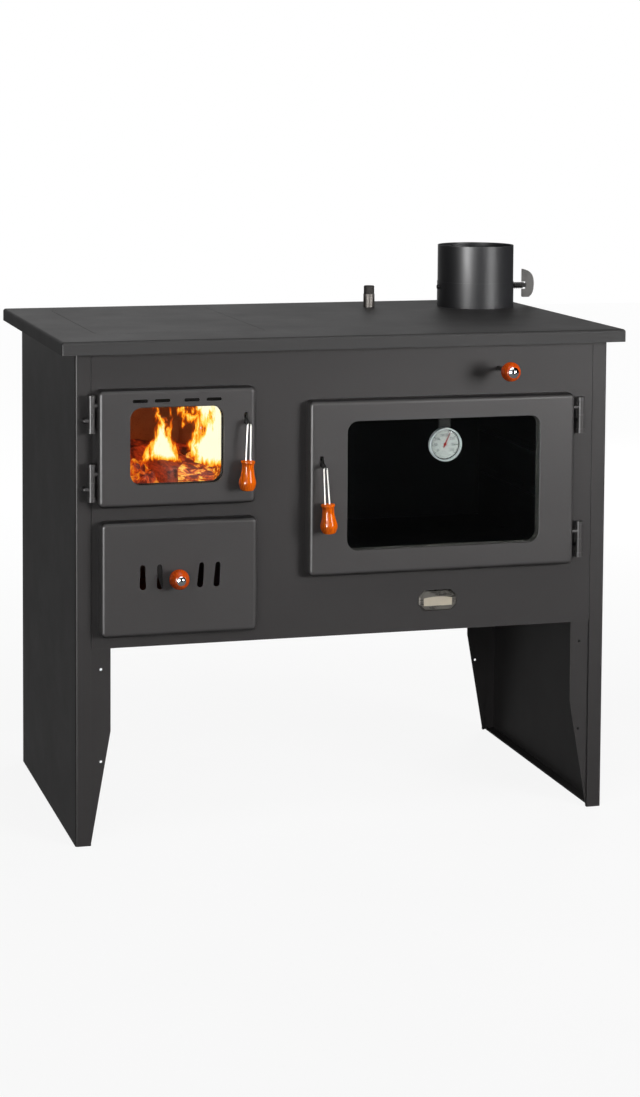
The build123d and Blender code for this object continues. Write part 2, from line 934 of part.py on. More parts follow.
hinge_axes = ((fire_outline, fire_hinge_x, fire_boss_offset), (oven_outline, oven_hinge_x, 0))

with BuildPart() as hinge_seats:
    for outline, axis_x, boss_offset in hinge_axes:
        for top in barrel_tops(outline):
            split = top - barrel_split - barrel_gap / 2
            bottom = top - barrel_length
            lug_z = top - seat_lug_drop
            barrel_disc(axis_x, barrel_radius, bottom, split)
            barrel_disc(axis_x, barrel_cap_radius, bottom, bottom + barrel_bottom_cap)
            with BuildSketch(front_plane(face_y)):
                with Locations((axis_x - boss_offset, lug_z)):
                    Circle(lug_radius)
            extrude(amount=face_y - hinge_y)
            if boss_offset:
                with BuildSketch(side_plane(axis_x - boss_offset)):
                    with Locations((hinge_y, lug_z)):
                        Circle(lug_radius)
                extrude(amount=boss_offset)
                with Locations((axis_x - boss_offset, hinge_y, lug_z)):
                    Sphere(lug_radius)
            barrel_disc(axis_x, pin_radius, bottom + barrel_bottom_cap, split, Mode.SUBTRACT)
save(hinge_seats, "hinge_seats")

with BuildPart() as hinge_pins:
    for outline, axis_x, boss_offset in hinge_axes:
        for top in barrel_tops(outline):
            pin_top = top - barrel_split + pin_rise
            barrel_disc(axis_x, pin_radius, top - barrel_length + barrel_bottom_cap, pin_top)
save(hinge_pins, "hinge_pins")


# ============================================================ latches and handles
def lever_pivot(slot):
    return (slot[0], slot[1] - lever_pivot_drop)


def latch_bracket(slot):
    """Two ears on the liner's front, joined by the pin that the lever turns on."""
    x, z = lever_pivot(slot)
    gap = lever_thickness / 2 + seat_clearance
    with BuildPart() as bracket:
        for side in (-1, 1):
            with BuildSketch(Plane.XY.offset(z - ear_height / 2)):
                with BuildLine():
                    inner = x + side * gap
                    outer = inner + side * ear_sheet
                    foot = outer + side * ear_foot
                    Polyline(
                        (inner, pivot_y - lever_boss_radius),
                        (inner, liner_front),
                        (foot, liner_front),
                        (foot, liner_front - ear_sheet),
                        (outer, liner_front - ear_sheet),
                        (outer, pivot_y - lever_boss_radius),
                        close=True,
                    )
                make_face()
            extrude(amount=ear_height)
        with BuildSketch(side_plane(x - gap - ear_sheet)):
            with Locations((pivot_y, z)):
                Circle(lever_pin_radius)
        extrude(amount=2 * (gap + ear_sheet))
    return bracket


def latch_lever(slot):
    """Flat lever: eye outside the door, boss on the pin, hook behind the panel."""
    x, z = lever_pivot(slot)
    eye = (pivot_y - eye_reach, z - eye_drop)
    arm_top = z - hook_arm_drop
    hook_end = pivot_y + hook_reach
    with BuildPart() as lever:
        with BuildSketch(side_plane(x - lever_thickness / 2)):
            with Locations((pivot_y, z)):
                Circle(lever_boss_radius)
            with Locations(eye):
                Circle(eye_nose_radius)
            with BuildLine():
                slope = atan2(eye_drop, eye_reach)
                across = (-sin(slope), cos(slope))
                half = lever_arm_height / 2
                Polyline(
                    (pivot_y + half * across[0], z + half * across[1]),
                    (eye[0] + eye_nose_radius * across[0], eye[1] + eye_nose_radius * across[1]),
                    (eye[0] - eye_nose_radius * across[0], eye[1] - eye_nose_radius * across[1]),
                    (pivot_y - half * across[0], z - half * across[1]),
                    close=True,
                )
            make_face()
            with BuildLine():
                Polyline(
                    (pivot_y, arm_top),
                    (hook_end - hook_width, arm_top),
                    (hook_end - hook_width, z + hook_rise),
                    (hook_end, z + hook_rise - hook_width / 2),
                    (hook_end, arm_top - lever_arm_height),
                    (pivot_y, z - lever_boss_radius),
                    close=True,
                )
            make_face()
        extrude(amount=lever_thickness)
        with BuildSketch(side_plane(x - lever_thickness / 2)):
            with Locations((pivot_y, z)):
                Circle(lever_pin_radius + fit_clearance)
            with Locations(eye):
                Circle(eye_radius)
        extrude(amount=lever_thickness, mode=Mode.SUBTRACT)
        for side in (-1, 1):
            inside = x + side * eye_nose_thickness / 2
            outside = x + side * lever_thickness
            block(
                min(inside, outside),
                max(inside, outside),
                eye[0] - 2 * eye_nose_radius,
                eye[0] + coined_reach,
                eye[1] - 3 * eye_nose_radius,
                eye[1] + 3 * eye_nose_radius,
                mode=Mode.SUBTRACT,
            )
    return lever


def handle_plane(slot, lean):
    """Upright plane through a latch's eye, leaned sideways; drawn across and up."""
    x, z = lever_pivot(slot)
    across = (cos(radians(lean)), 0, sin(radians(lean)))
    return Plane(origin=(x, pivot_y - eye_reach, z - eye_drop), x_dir=across, z_dir=(0, -1, 0))


def hairpin(plane, radius):
    """Wire bent over the eye in a tight arc, its legs spreading down into the grip."""
    spread = radians(hairpin_spread)
    touch_x = hairpin_radius * cos(spread)
    touch_y = hairpin_radius * (sin(spread) - 1)
    leg = (grip_drop + leg_socket + touch_y) / cos(spread)
    foot_x = touch_x + leg * sin(spread)
    foot_y = touch_y - leg * cos(spread)
    with BuildPart() as wire:
        with BuildLine(plane) as path:
            Line((-foot_x, foot_y), (-touch_x, touch_y))
            ThreePointArc((-touch_x, touch_y), (0, 0), (touch_x, touch_y))
            Line((touch_x, touch_y), (foot_x, foot_y))
        with BuildSketch(Plane(origin=path.line @ 0, z_dir=path.line % 0)):
            Circle(radius)
        sweep(path=path.line)
    return wire


def handle_grip(slot, lean):
    """Turned grip: lipped top, waist, shoulder, full belly and a flat end."""
    plane = handle_plane(slot, lean)
    with BuildPart() as grip:
        with BuildSketch(plane):
            with BuildLine():
                Polyline((0, -grip_drop - grip_length), (0, -grip_drop), (grip_top_radius, -grip_drop))
                ThreePointArc(
                    (grip_top_radius, -grip_drop),
                    (grip_lip_radius, -grip_drop - grip_lip_depth / 2),
                    (grip_neck_radius, -grip_drop - grip_lip_depth),
                )
                Spline(
                    (grip_neck_radius, -grip_drop - grip_lip_depth),
                    (grip_waist_radius, -grip_drop - 0.16 * grip_length),
                    (grip_top_radius, -grip_drop - 0.4 * grip_length),
                    (grip_shoulder_radius, -grip_drop - 0.62 * grip_length),
                    (grip_belly_radius, -grip_drop - 0.76 * grip_length),
                    (grip_heel_radius, -grip_drop - 0.92 * grip_length),
                    (grip_end_radius, -grip_drop - grip_length),
                )
                Line((grip_end_radius, -grip_drop - grip_length), (0, -grip_drop - grip_length))
            make_face()
        revolve(axis=Axis(plane.origin, plane.y_dir))
        add(hairpin(plane, wire_radius + fit_clearance).part, mode=Mode.SUBTRACT)
    return grip


with BuildPart() as latch_catches:
    for slot, wall_x in ((fire_slot, casing_inside.right), (oven_slot, oven_opening.left)):
        x, z = lever_pivot(slot)
        side = 1 if wall_x > x else -1
        far_x = x - side * (lever_thickness / 2 + catch_overlap)
        lip = z + hook_rise + seat_clearance
        catch_y = face_y + catch_reach
        block(
            min(far_x, wall_x), max(far_x, wall_x), catch_y, catch_y + catch_sheet, lip, lip + catch_height
        )
save(latch_catches, "latch_catches")


# ============================================================ the two doors
def build_door(name, outline, window, window_radius, slot, margin, axis_x, wall_x, lean):
    save(door_shell(outline, window, window_radius, slot, name == "fire"), f"{name}_door_shell")
    save(door_liner(outline, window, window_radius, slot), f"{name}_door_liner")
    save(door_glass(window, margin), f"{name}_door_glass")
    save(glass_clips(window, margin), f"{name}_glass_clips")
    save(door_rope(outline), f"{name}_door_rope")
    save(door_knuckles(outline, axis_x, wall_x), f"{name}_door_knuckles")
    save(latch_bracket(slot), f"{name}_latch_bracket")
    save(latch_lever(slot), f"{name}_latch_lever")
    save(hairpin(handle_plane(slot, lean), wire_radius), f"{name}_handle_wire")
    save(handle_grip(slot, lean), f"{name}_handle_grip")


build_door(
    "fire",
    fire_outline,
    fire_window,
    fire_window_radius,
    fire_slot,
    fire_glass_margin,
    fire_hinge_x,
    fire_outline.left,
    fire_handle_lean,
)
build_door(
    "oven",
    oven_outline,
    oven_window,
    oven_window_radius,
    oven_slot,
    oven_glass_margin,
    oven_hinge_x,
    oven_outline.right,
    oven_handle_lean,
)


# ============================================================ oven thermometer
strap_rear = liner_front
case_rear = strap_rear - strap_sheet
case_front = case_rear - case_depth
dial_rear = case_rear - case_wall

with BuildPart() as thermometer_case:
    with BuildSketch(front_plane(case_rear)):
        with Locations((dial_x, dial_z)):
            Circle(case_radius)
    extrude(amount=case_depth)
    with BuildSketch(front_plane(dial_rear)):
        with Locations((dial_x, dial_z)):
            Circle(case_radius - case_wall)
    extrude(amount=case_depth - case_wall - 1, mode=Mode.SUBTRACT)
    with BuildSketch(front_plane(case_front)):
        with Locations((dial_x, dial_z)):
            Circle(case_radius - bezel_width)
    extrude(amount=-2, mode=Mode.SUBTRACT)
    fillet(thermometer_case.faces().sort_by(Axis.Y)[0].outer_wire().edges(), bezel_round)
save(thermometer_case, "thermometer_case")

with BuildPart() as thermometer_dial:
    with BuildSketch(front_plane(dial_rear)):
        with Locations((dial_x, dial_z)):
            Circle(case_radius - case_wall - fit_clearance)
            Circle(needle_pin_radius + fit_clearance, mode=Mode.SUBTRACT)
    extrude(amount=dial_thickness)
save(thermometer_dial, "thermometer_dial")

with BuildPart() as thermometer_needle:
    dial_front = dial_rear - dial_thickness
    needle_plane = Plane(
        origin=(dial_x, dial_front - 1, dial_z),
        x_dir=(cos(radians(needle_angle)), 0, -sin(radians(needle_angle))),
        z_dir=(0, -1, 0),
    )
    with BuildSketch(needle_plane):
        Circle(needle_hub_radius)
        with BuildLine():
            Polyline(
                (-needle_half, -needle_tail),
                (needle_half, -needle_tail),
                (needle_point, needle_length),
                (-needle_point, needle_length),
                close=True,
            )
        make_face()
    extrude(amount=needle_sheet)
    with BuildSketch(front_plane(dial_front - 1)):
        with Locations((dial_x, dial_z)):
            Circle(needle_pin_radius)
    extrude(amount=-(1 + dial_thickness - fit_clearance))
save(thermometer_needle, "thermometer_needle")

with BuildPart() as thermometer_strap:
    strap_top = oven_window.top + strap_lap
    flange_bottom = dial_z + case_radius + seat_clearance
    half = strap_width / 2
    with BuildSketch(front_plane(strap_rear)):
        panel_shape(Outline(dial_x - half, dial_x + half, dial_z - half, strap_top))
    extrude(amount=strap_sheet)
    with BuildSketch(Plane.XY.offset(flange_bottom)):
        for side in (-1, 1):
            outer_x = dial_x + side * half
            inner_x = outer_x - side * strap_sheet
            ends = sorted((outer_x, inner_x))
            panel_shape(Outline(ends[0], ends[1], strap_rear - strap_flange, strap_rear))
    extrude(amount=strap_top - flange_bottom)
save(thermometer_strap, "thermometer_strap")


# ============================================================ ash drawer and air register
def turned_knob(x, z, center_y, radius, cap_radius, back_radius, bore_radius, bore_depth):
    """Wooden ball with flats for the cap in front and for the neck behind, on a y axis."""
    front_flat = sqrt(radius**2 - cap_radius**2)
    back_flat = sqrt(radius**2 - back_radius**2)
    with BuildPart() as knob:
        with BuildSketch(Plane.XY.offset(z)):
            with BuildLine():
                Polyline((x + back_radius, center_y + back_flat), (x, center_y + back_flat), (x, center_y - front_flat))
                Line((x, center_y - front_flat), (x + cap_radius, center_y - front_flat))
                ThreePointArc(
                    (x + cap_radius, center_y - front_flat),
                    (x + radius, center_y),
                    (x + back_radius, center_y + back_flat),
                )
            make_face()
        revolve(axis=Axis((x, center_y, z), (0, 1, 0)))
        with BuildSketch(front_plane(center_y + back_flat)):
            with Locations((x, z)):
                Circle(bore_radius)
        extrude(amount=bore_depth, mode=Mode.SUBTRACT)
    return knob


def domed_cap(x, z, seat_y, radius, height):
    """Chrome dome that stands on a knob's front flat."""
    dome_radius = (radius**2 + height**2) / (2 * height)
    half_angle = acos((dome_radius - height) / dome_radius) / 2
    waist_y = seat_y - height + dome_radius * (1 - cos(half_angle))
    with BuildPart() as cap:
        with BuildSketch(Plane.XY.offset(z)):
            with BuildLine():
                Polyline((x, seat_y - height), (x, seat_y), (x + radius, seat_y))
                waist = (x + dome_radius * sin(half_angle), waist_y)
                ThreePointArc((x + radius, seat_y), waist, (x, seat_y - height))
            make_face()
        revolve(axis=Axis((x, seat_y, z), (0, 1, 0)))
    return cap


with BuildPart() as drawer_front:
    add(pressed_front(drawer_outline).part)
    with BuildSketch(front_plane(front_inside)):
        pattern_x = (drawer_outline.left + drawer_outline.right) / 2
        rise = air_slot_height - air_slot_bottom_radius - air_slot_top_radius
        for shift, lean in zip(air_slot_offsets, air_slot_leans):
            low = (pattern_x + shift, drawer_outline.bottom + air_slot_rise + air_slot_bottom_radius)
            high = (low[0] + rise * sin(radians(lean)), low[1] + rise * cos(radians(lean)))
            with BuildSketch(mode=Mode.PRIVATE) as slot_shape:
                with Locations(low):
                    Circle(air_slot_bottom_radius)
                with Locations(high):
                    Circle(air_slot_top_radius)
                make_hull()
            add(slot_shape.sketch)
        with Locations((knob_x, knob_z)):
            Circle(register_spindle_radius + running_clearance)
    extrude(amount=front_sheet, mode=Mode.SUBTRACT)
save(drawer_front, "drawer_front")

with BuildPart() as ash_pan:
    pan = grown(drawer_opening, -pan_side_clearance)
    pan_top = pan_bottom + pan_height
    pan_front = front_inside + register_sheet + 2 * seat_clearance + pan_front_gap
    pan_rear = face_y + pan_length
    with BuildSketch(Plane.XY.offset(pan_bottom)):
        panel_shape(Outline(pan.left, pan.right, pan_front, pan_rear))
    extrude(amount=pan_height)
    with BuildSketch(Plane.XY.offset(pan_bottom + pan_sheet)):
        inside = Outline(pan.left, pan.right, pan_front, pan_rear)
        panel_shape(grown(inside, -pan_sheet))
    extrude(amount=pan_height, mode=Mode.SUBTRACT)
    block(
        pan.left + pan_sheet,
        pan.right - pan_sheet,
        pan_front,
        pan_front + pan_sheet,
        pan_bottom + pan_front_height,
        pan_top,
        mode=Mode.SUBTRACT,
    )
    for side_x in (pan.left, pan.right - pan_sheet):
        block(side_x, side_x + pan_sheet, front_inside, pan_front, pan_bottom, pan_top)
save(ash_pan, "ash_pan")

register_flat = sqrt(register_knob_radius**2 - register_neck_radius**2)
register_knob_y = face_y - register_knob_reach
with BuildPart() as register_plate:
    plate_y = front_inside + seat_clearance + register_sheet
    with BuildSketch(front_plane(plate_y)):
        with Locations(Location((knob_x, knob_z), register_angle)):
            RectangleRounded(register_length, register_height, register_corner_radius)
    extrude(amount=register_sheet)
    with BuildSketch(front_plane(plate_y - register_sheet)):
        with Locations((knob_x, knob_z)):
            Circle(register_spindle_radius)
    extrude(amount=plate_y - register_sheet - register_knob_y)
save(register_plate, "register_plate")

register_ball = turned_knob(
    knob_x,
    knob_z,
    register_knob_y,
    register_knob_radius,
    register_cap_radius,
    register_neck_radius,
    register_spindle_radius + fit_clearance,
    register_flat + fit_clearance,
)
with BuildPart() as register_knob:
    add(register_ball.part)
    with BuildSketch(front_plane(front_face - seat_clearance)):
        with Locations((knob_x, knob_z)):
            Circle(register_neck_radius)
            Circle(register_spindle_radius + fit_clearance, mode=Mode.SUBTRACT)
    extrude(amount=front_face - seat_clearance - (register_knob_y + register_flat))
save(register_knob, "register_knob")

cap_seat = register_knob_y - sqrt(register_knob_radius**2 - register_cap_radius**2)
register_cap = domed_cap(knob_x, knob_z, cap_seat, register_cap_radius, register_cap_height)
save(register_cap, "register_cap")


# ============================================================ draft control
draft_knob_y = face_y - draft_knob_reach
draft_back = sqrt(draft_knob_radius**2 - draft_ferrule_radius**2)
draft_plate_y = baffle_y - seat_clearance - draft_push

draft_knob = turned_knob(
    draft_x,
    draft_z,
    draft_knob_y,
    draft_knob_radius,
    draft_cap_radius,
    draft_ferrule_radius,
    draft_rod_radius + fit_clearance,
    draft_back + fit_clearance,
)
save(draft_knob, "draft_knob")

with BuildPart() as draft_rod:
    with BuildSketch(front_plane(draft_knob_y)):
        with Locations((draft_x, draft_z)):
            Circle(draft_rod_radius)
    extrude(amount=-(draft_knob_reach + draft_rod_end))
save(draft_rod, "draft_rod")

with BuildPart() as draft_plate:
    with BuildSketch(front_plane(draft_plate_y)):
        with Locations((draft_x, draft_z)):
            Rectangle(baffle_opening_width + 2 * draft_plate_lap, baffle_opening_height + 2 * draft_plate_lap)
            Circle(draft_rod_radius + fit_clearance, mode=Mode.SUBTRACT)
    extrude(amount=draft_plate_sheet)
save(draft_plate, "draft_plate")

with BuildPart() as draft_trim:
    with BuildSketch(front_plane(draft_knob_y + draft_back)):
        with Locations((draft_x, draft_z)):
            Circle(draft_ferrule_radius)
            Circle(draft_rod_radius + fit_clearance, mode=Mode.SUBTRACT)
    extrude(amount=-draft_ferrule_length)
    draft_cap_y = draft_knob_y - sqrt(draft_knob_radius**2 - draft_cap_radius**2)
    add(domed_cap(draft_x, draft_z, draft_cap_y, draft_cap_radius, draft_cap_height).part)
save(draft_trim, "draft_trim")


# ============================================================ flue collar and damper
with BuildPart() as flue_collar:
    with BuildSketch(Plane.XY.offset(top_z)):
        with Locations((flue_x, flue_y)):
            Circle(flue_radius)
    extrude(amount=flue_height - spigot_length)
    with BuildSketch(Plane.XY.offset(top_z)):
        with Locations((flue_x, flue_y)):
            Circle(spigot_radius)
    extrude(amount=flue_height)
    with BuildSketch(Plane.XY.offset(top_z)):
        with Locations((flue_x, flue_y)):
            Circle(flue_radius - flue_wall)
    extrude(amount=flue_height, mode=Mode.SUBTRACT)
    with BuildSketch(side_plane(flue_x - 2 * flue_radius)):
        with Locations((flue_y, damper_z)):
            Circle(spindle_radius + running_clearance)
    extrude(amount=4 * flue_radius, mode=Mode.SUBTRACT)
save(flue_collar, "flue_collar")

key_left = flue_x + flue_radius + key_stand_off
notch_x = key_left + key_notch_depth
disc_radius = flue_radius - flue_wall - damper_clearance

with BuildPart() as damper_disc:
    with BuildSketch(front_plane(flue_y + damper_sheet / 2)):
        with Locations((flue_x, damper_z)):
            Circle(disc_radius)
    extrude(amount=damper_sheet)
    sleeve_half = sqrt(disc_radius**2 - sleeve_radius**2) - 1
    with BuildSketch(side_plane(flue_x - sleeve_half)):
        with Locations((flue_y, damper_z)):
            Circle(sleeve_radius)
    extrude(amount=2 * sleeve_half)
    with BuildSketch(side_plane(flue_x - flue_radius)):
        with Locations((flue_y, damper_z)):
            Circle(spindle_radius + fit_clearance)
    extrude(amount=2 * flue_radius, mode=Mode.SUBTRACT)
save(damper_disc, "damper_disc")

with BuildPart() as damper_spindle:
    spindle_left = flue_x - flue_radius - spindle_nub
    with BuildSketch(side_plane(spindle_left)):
        with Locations((flue_y, damper_z)):
            Circle(spindle_radius)
    extrude(amount=notch_x - spindle_left)
save(damper_spindle, "damper_spindle")

with BuildPart() as damper_key:
    key_low = damper_z + key_rise - key_height / 2
    key_high = damper_z + key_rise + key_height / 2
    key_mid = (key_low + key_high) / 2
    key_right = key_left + key_width
    with BuildSketch(front_plane(flue_y + key_sheet / 2)):
        with BuildLine():
            Polyline((key_left, key_high), (key_left, key_low), (key_left + 0.6 * key_width, key_low))
            Spline(
                (key_left + 0.6 * key_width, key_low),
                (key_right, key_mid - 0.12 * key_height),
                (key_left, key_high),
                tangents=((0.6, 0.4), (-1, 0.15)),
            )
        make_face()
        with Locations(((key_left + notch_x) / 2, damper_z)):
            Rectangle(key_notch_depth, key_notch_height, mode=Mode.SUBTRACT)
    extrude(amount=key_sheet)
    fillet(damper_key.edges().filter_by(Axis.Y).group_by(Axis.Z)[0], key_corner)
save(damper_key, "damper_key")


def joined_arcs(start, start_way, end, end_way):
    """Two arcs that meet smoothly between two points with given directions."""
    chord = end - start
    ways = start_way + end_way
    along = chord.dot(ways)
    spare = 4 - ways.dot(ways)
    reach = (sqrt(along**2 + spare * chord.dot(chord)) - along) / spare
    join = (start + start_way * reach + end - end_way * reach) * 0.5
    join_way = (end - end_way * reach - start - start_way * reach).normalized()
    TangentArc(start, join, tangent=start_way)
    TangentArc(join, end, tangent=join_way)


def coil_point(turn, first_x, pitch):
    """Point and direction on the spring's coil, in turns from the top."""
    angle = 2 * pi * turn
    point = Vector(
        first_x + pitch * turn,
        flue_y - spring_mean_radius * sin(angle),
        damper_z + spring_mean_radius * cos(angle),
    )
    way = Vector(
        pitch / (2 * pi),
        -spring_mean_radius * cos(angle),
        -spring_mean_radius * sin(angle),
    )
    return point, way.normalized()


spring_start = flue_x + flue_radius + seat_clearance
spring_end = notch_x - seat_clearance
spring_tail = 2 * spring_wire_radius
coil_start = spring_start + spring_tail + spring_lead
coil_end = spring_end - spring_tail - spring_lead
coil_pitch = (coil_end - coil_start) / spring_turns
axial = Vector(1, 0, 0)

with BuildPart() as damper_spring:
    with BuildLine() as coil:
        tail_start = coil_point(-0.25, spring_start + 0.25 * coil_pitch, coil_pitch)[0]
        tail_end = tail_start + axial * spring_tail
        Line(tail_start, tail_end)
        point, way = coil_point(0, coil_start, coil_pitch)
        joined_arcs(tail_end, axial, point, way)
        for quarter in range(4 * spring_turns):
            next_point, next_way = coil_point((quarter + 1) / 4, coil_start, coil_pitch)
            joined_arcs(point, way, next_point, next_way)
            point, way = next_point, next_way
        last = coil_point(spring_turns + 0.25, coil_start, coil_pitch)[0]
        last = Vector(spring_end - spring_tail, last.Y, last.Z)
        joined_arcs(point, way, last, axial)
        Line(last, last + axial * spring_tail)
    with BuildSketch(Plane(origin=tail_start, z_dir=(1, 0, 0))):
        Circle(spring_wire_radius)
    sweep(path=coil.wire())
save(damper_spring, "damper_spring")

# Least gap of the spring to itself, on points a few wire widths or more apart along it
spring_path = coil.wire()
sample_count = 600
samples = [spring_path @ (index / sample_count) for index in range(sample_count + 1)]
apart = int(4 * spring_wire_radius * sample_count / spring_path.length) + 1
least = min(
    (samples[first] - samples[second]).length
    for first in range(sample_count + 1)
    for second in range(first + apart, sample_count + 1)
)
print(f"spring: least gap between turns {least - 2 * spring_wire_radius:.2f} mm")
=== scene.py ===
import math

import bmesh
import bpy
from mathutils import Matrix, Vector


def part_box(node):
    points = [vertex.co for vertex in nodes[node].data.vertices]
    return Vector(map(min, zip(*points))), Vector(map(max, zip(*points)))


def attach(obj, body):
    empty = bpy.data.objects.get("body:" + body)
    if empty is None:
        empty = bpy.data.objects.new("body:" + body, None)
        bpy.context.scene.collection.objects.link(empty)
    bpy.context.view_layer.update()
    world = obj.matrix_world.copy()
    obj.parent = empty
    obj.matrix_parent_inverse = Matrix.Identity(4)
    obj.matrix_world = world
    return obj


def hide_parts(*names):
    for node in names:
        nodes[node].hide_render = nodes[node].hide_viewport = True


bl_info = {
    "name": "Wood cookstove finish",
    "version": (1, 0, 0),
    "blender": (4, 5, 0),
    "location": "View3D > Sidebar > Cookstove",
    "description": "Turns the grips, prints the dial, winds the door seals and paints the packed cookstove",
    "category": "Object",
}

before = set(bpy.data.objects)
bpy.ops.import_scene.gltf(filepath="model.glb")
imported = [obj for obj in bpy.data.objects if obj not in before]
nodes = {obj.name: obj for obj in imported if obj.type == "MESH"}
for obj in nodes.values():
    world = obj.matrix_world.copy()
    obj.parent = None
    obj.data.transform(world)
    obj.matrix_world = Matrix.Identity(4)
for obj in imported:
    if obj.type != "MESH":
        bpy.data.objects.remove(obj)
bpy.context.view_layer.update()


# ---------------------------------------------------------------- places and colours
def middle(node, depth=None):
    """Middle of a node's box, at another depth where one is given."""
    low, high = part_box(node)
    x, y, z = ((first + second) / 2 for first, second in zip(low, high))
    return Vector((x, y if depth is None else depth, z))


def shifted(place):
    return Matrix.Translation(place)


def turned(degrees, axis):
    return Matrix.Rotation(math.radians(degrees), 4, axis)


# Turns a piece that was made along Z so that it faces the front
FRONTWARD = turned(90, "X")


def shade(red, green, blue):
    """Linear colour of an 8-bit display colour."""

    def linear(part):
        level = part / 255
        return level / 12.92 if level < 0.04045 else ((level + 0.055) / 1.055) ** 2.4

    return tuple(linear(part) for part in (red, green, blue))


# ---------------------------------------------------------------- sizes and colours a user may change
def length(name, description, metres):
    return bpy.props.FloatProperty(name=name, description=description, default=metres, unit="LENGTH")


def power(name, description, watts):
    return bpy.props.FloatProperty(name=name, description=description, default=watts, unit="POWER")


def swatch(name, description, *parts):
    """A colour, from its red, green and blue as displayed."""
    return bpy.props.FloatVectorProperty(
        name=name, description=description, default=shade(*parts), subtype="COLOR"
    )


class CookstoveSizes(bpy.types.PropertyGroup):
    """Sizes of the pieces modelled here."""

    numeral_height: length("Numeral height", "Height of the dial's numbers", 0.0062)
    numeral_radius: length("Numeral circle", "Radius of the circle of numbers", 0.0162)
    tick_length: length("Tick length", "Length of the dial's long ticks", 0.0034)
    lens_rise: length("Lens rise", "How far the dial's lens is domed", 0.0012)
    strand_radius: length("Strand radius", "Radius of a strand of the door seals", 0.00115)
    strand_pitch: length("Strand pitch", "Length of one twist of the door seals", 0.013)
    screw_radius: length("Screw head", "Radius of a rear panel screw's head", 0.0042)


class CookstoveColours(bpy.types.PropertyGroup):
    """Colours of the finishes."""

    body: swatch("Body paint", "Matt charcoal stove paint", 62, 60, 60)
    door: swatch("Door paint", "Paint of the pressed fronts", 72, 70, 70)
    cooktop: swatch("Cooktop paint", "Paint of the cooktop", 48, 47, 47)
    flue: swatch("Flue paint", "Paint of the flue collar", 40, 40, 42)
    worn_edge: swatch("Worn edge", "Where handling has thinned the paint", 128, 127, 126)
    wood_light: swatch("Wood, light", "Early wood under the varnish", 240, 110, 2)
    wood_dark: swatch("Wood, dark", "Late wood under the varnish", 196, 66, 6)
    knob_light: swatch("Knob wood, light", "Stained early wood", 214, 84, 14)
    knob_dark: swatch("Knob wood, dark", "Stained late wood", 166, 48, 10)
    brick: swatch("Fire brick", "Fired clay", 196, 160, 118)
    rope: swatch("Seal", "Glass-fibre rope", 200, 196, 184)
    dial: swatch("Dial", "Enamelled dial", 206, 207, 204)
    floor: swatch("Floor", "Studio floor, under its glow", 72, 72, 72)


class CookstoveStudio(bpy.types.PropertyGroup):
    """Light and camera."""

    ambient: bpy.props.FloatProperty(name="Ambient", description="Strength of the even light", default=0.03)
    key_power: power("Key", "Power of the soft lamp at the front right", 18.5)
    fill_power: power("Fill", "Power of the soft lamp at the front left", 19)
    strip_power: power("Strip", "Power of the low softbox at the left, which only gloss shows", 180)
    rear_power: power("Rear", "Power of the softbox that lights the back and the right side", 60)
    top_power: power("Top", "Power of the soft lamp overhead", 16)
    lens: bpy.props.FloatProperty(name="Lens", description="Focal length in millimetres", default=80.038)


def sizes():
    return bpy.context.scene.cookstove_sizes


def colours():
    return bpy.context.scene.cookstove_colours


def studio():
    return bpy.context.scene.cookstove_studio


# ---------------------------------------------------------------- shader nodes
def connect(tree, sockets, values):
    """Link other nodes' outputs to sockets, and set constants on the sockets themselves."""
    for key, value in values.items():
        socket = sockets[key]
        if isinstance(value, bpy.types.NodeSocket):
            tree.links.new(value, socket)
        elif socket.type == "RGBA":
            socket.default_value = (*value[:3], 1)
        else:
            socket.default_value = value


def add_node(tree, kind, inputs=None, **settings):
    """Add a shader node with its settings and inputs; returns its outputs."""
    made = tree.nodes.new(kind)
    for name, value in settings.items():
        setattr(made, name, value)
    connect(tree, made.inputs, inputs or {})
    return made.outputs


def object_place(tree):
    return add_node(tree, "ShaderNodeTexCoord")["Object"]


def split(tree, vector):
    """The X, Y and Z of a vector."""
    return add_node(tree, "ShaderNodeSeparateXYZ", {"Vector": vector})


def stretched(tree, vector, scale):
    """Object coordinates scaled by axis, for grain that runs one way."""
    return add_node(tree, "ShaderNodeMapping", {"Vector": vector, "Scale": scale})["Vector"]


def noise(tree, place, scale, detail=2.0, roughness=0.5, distortion=0.0):
    """Soft noise between 0 and 1; scale is in lumps per metre."""
    inputs = {"Vector": place, "Scale": scale, "Detail": detail}
    inputs |= {"Roughness": roughness, "Distortion": distortion}
    return add_node(tree, "ShaderNodeTexNoise", inputs)["Fac"]


def spread(tree, value, source, target=(0, 1)):
    """A value carried from one range to another and clamped there."""
    inputs = {"Value": value, "From Min": source[0], "From Max": source[1]}
    inputs |= {"To Min": target[0], "To Max": target[1]}
    return add_node(tree, "ShaderNodeMapRange", inputs)["Result"]


def maths(tree, operation, first, second=0.0, clamp=False):
    return add_node(tree, "ShaderNodeMath", {0: first, 1: second}, operation=operation, use_clamp=clamp)[0]


def plus(tree, first, second, clamp=False):
    return maths(tree, "ADD", first, second, clamp)


def minus(tree, first, second):
    return maths(tree, "SUBTRACT", first, second)


def times(tree, first, second, clamp=False):
    return maths(tree, "MULTIPLY", first, second, clamp)


def larger(tree, first, second):
    return maths(tree, "MAXIMUM", first, second)


def smaller(tree, first, second):
    return maths(tree, "MINIMUM", first, second)


def mixed(tree, factor, first, second, blend="MIX"):
    """Two colours mixed; 6 and 7 are the node's colour inputs, and 2 its colour output."""
    inputs = {0: factor, 6: first, 7: second}
    return add_node(tree, "ShaderNodeMix", inputs, data_type="RGBA", blend_type=blend)[2]


def toned(tree, colour, tone):
    """A colour made lighter or darker by a plain value."""
    grey = add_node(tree, "ShaderNodeCombineColor", {"Red": tone, "Green": tone, "Blue": tone})[0]
    return mixed(tree, 1.0, colour, grey, "MULTIPLY")


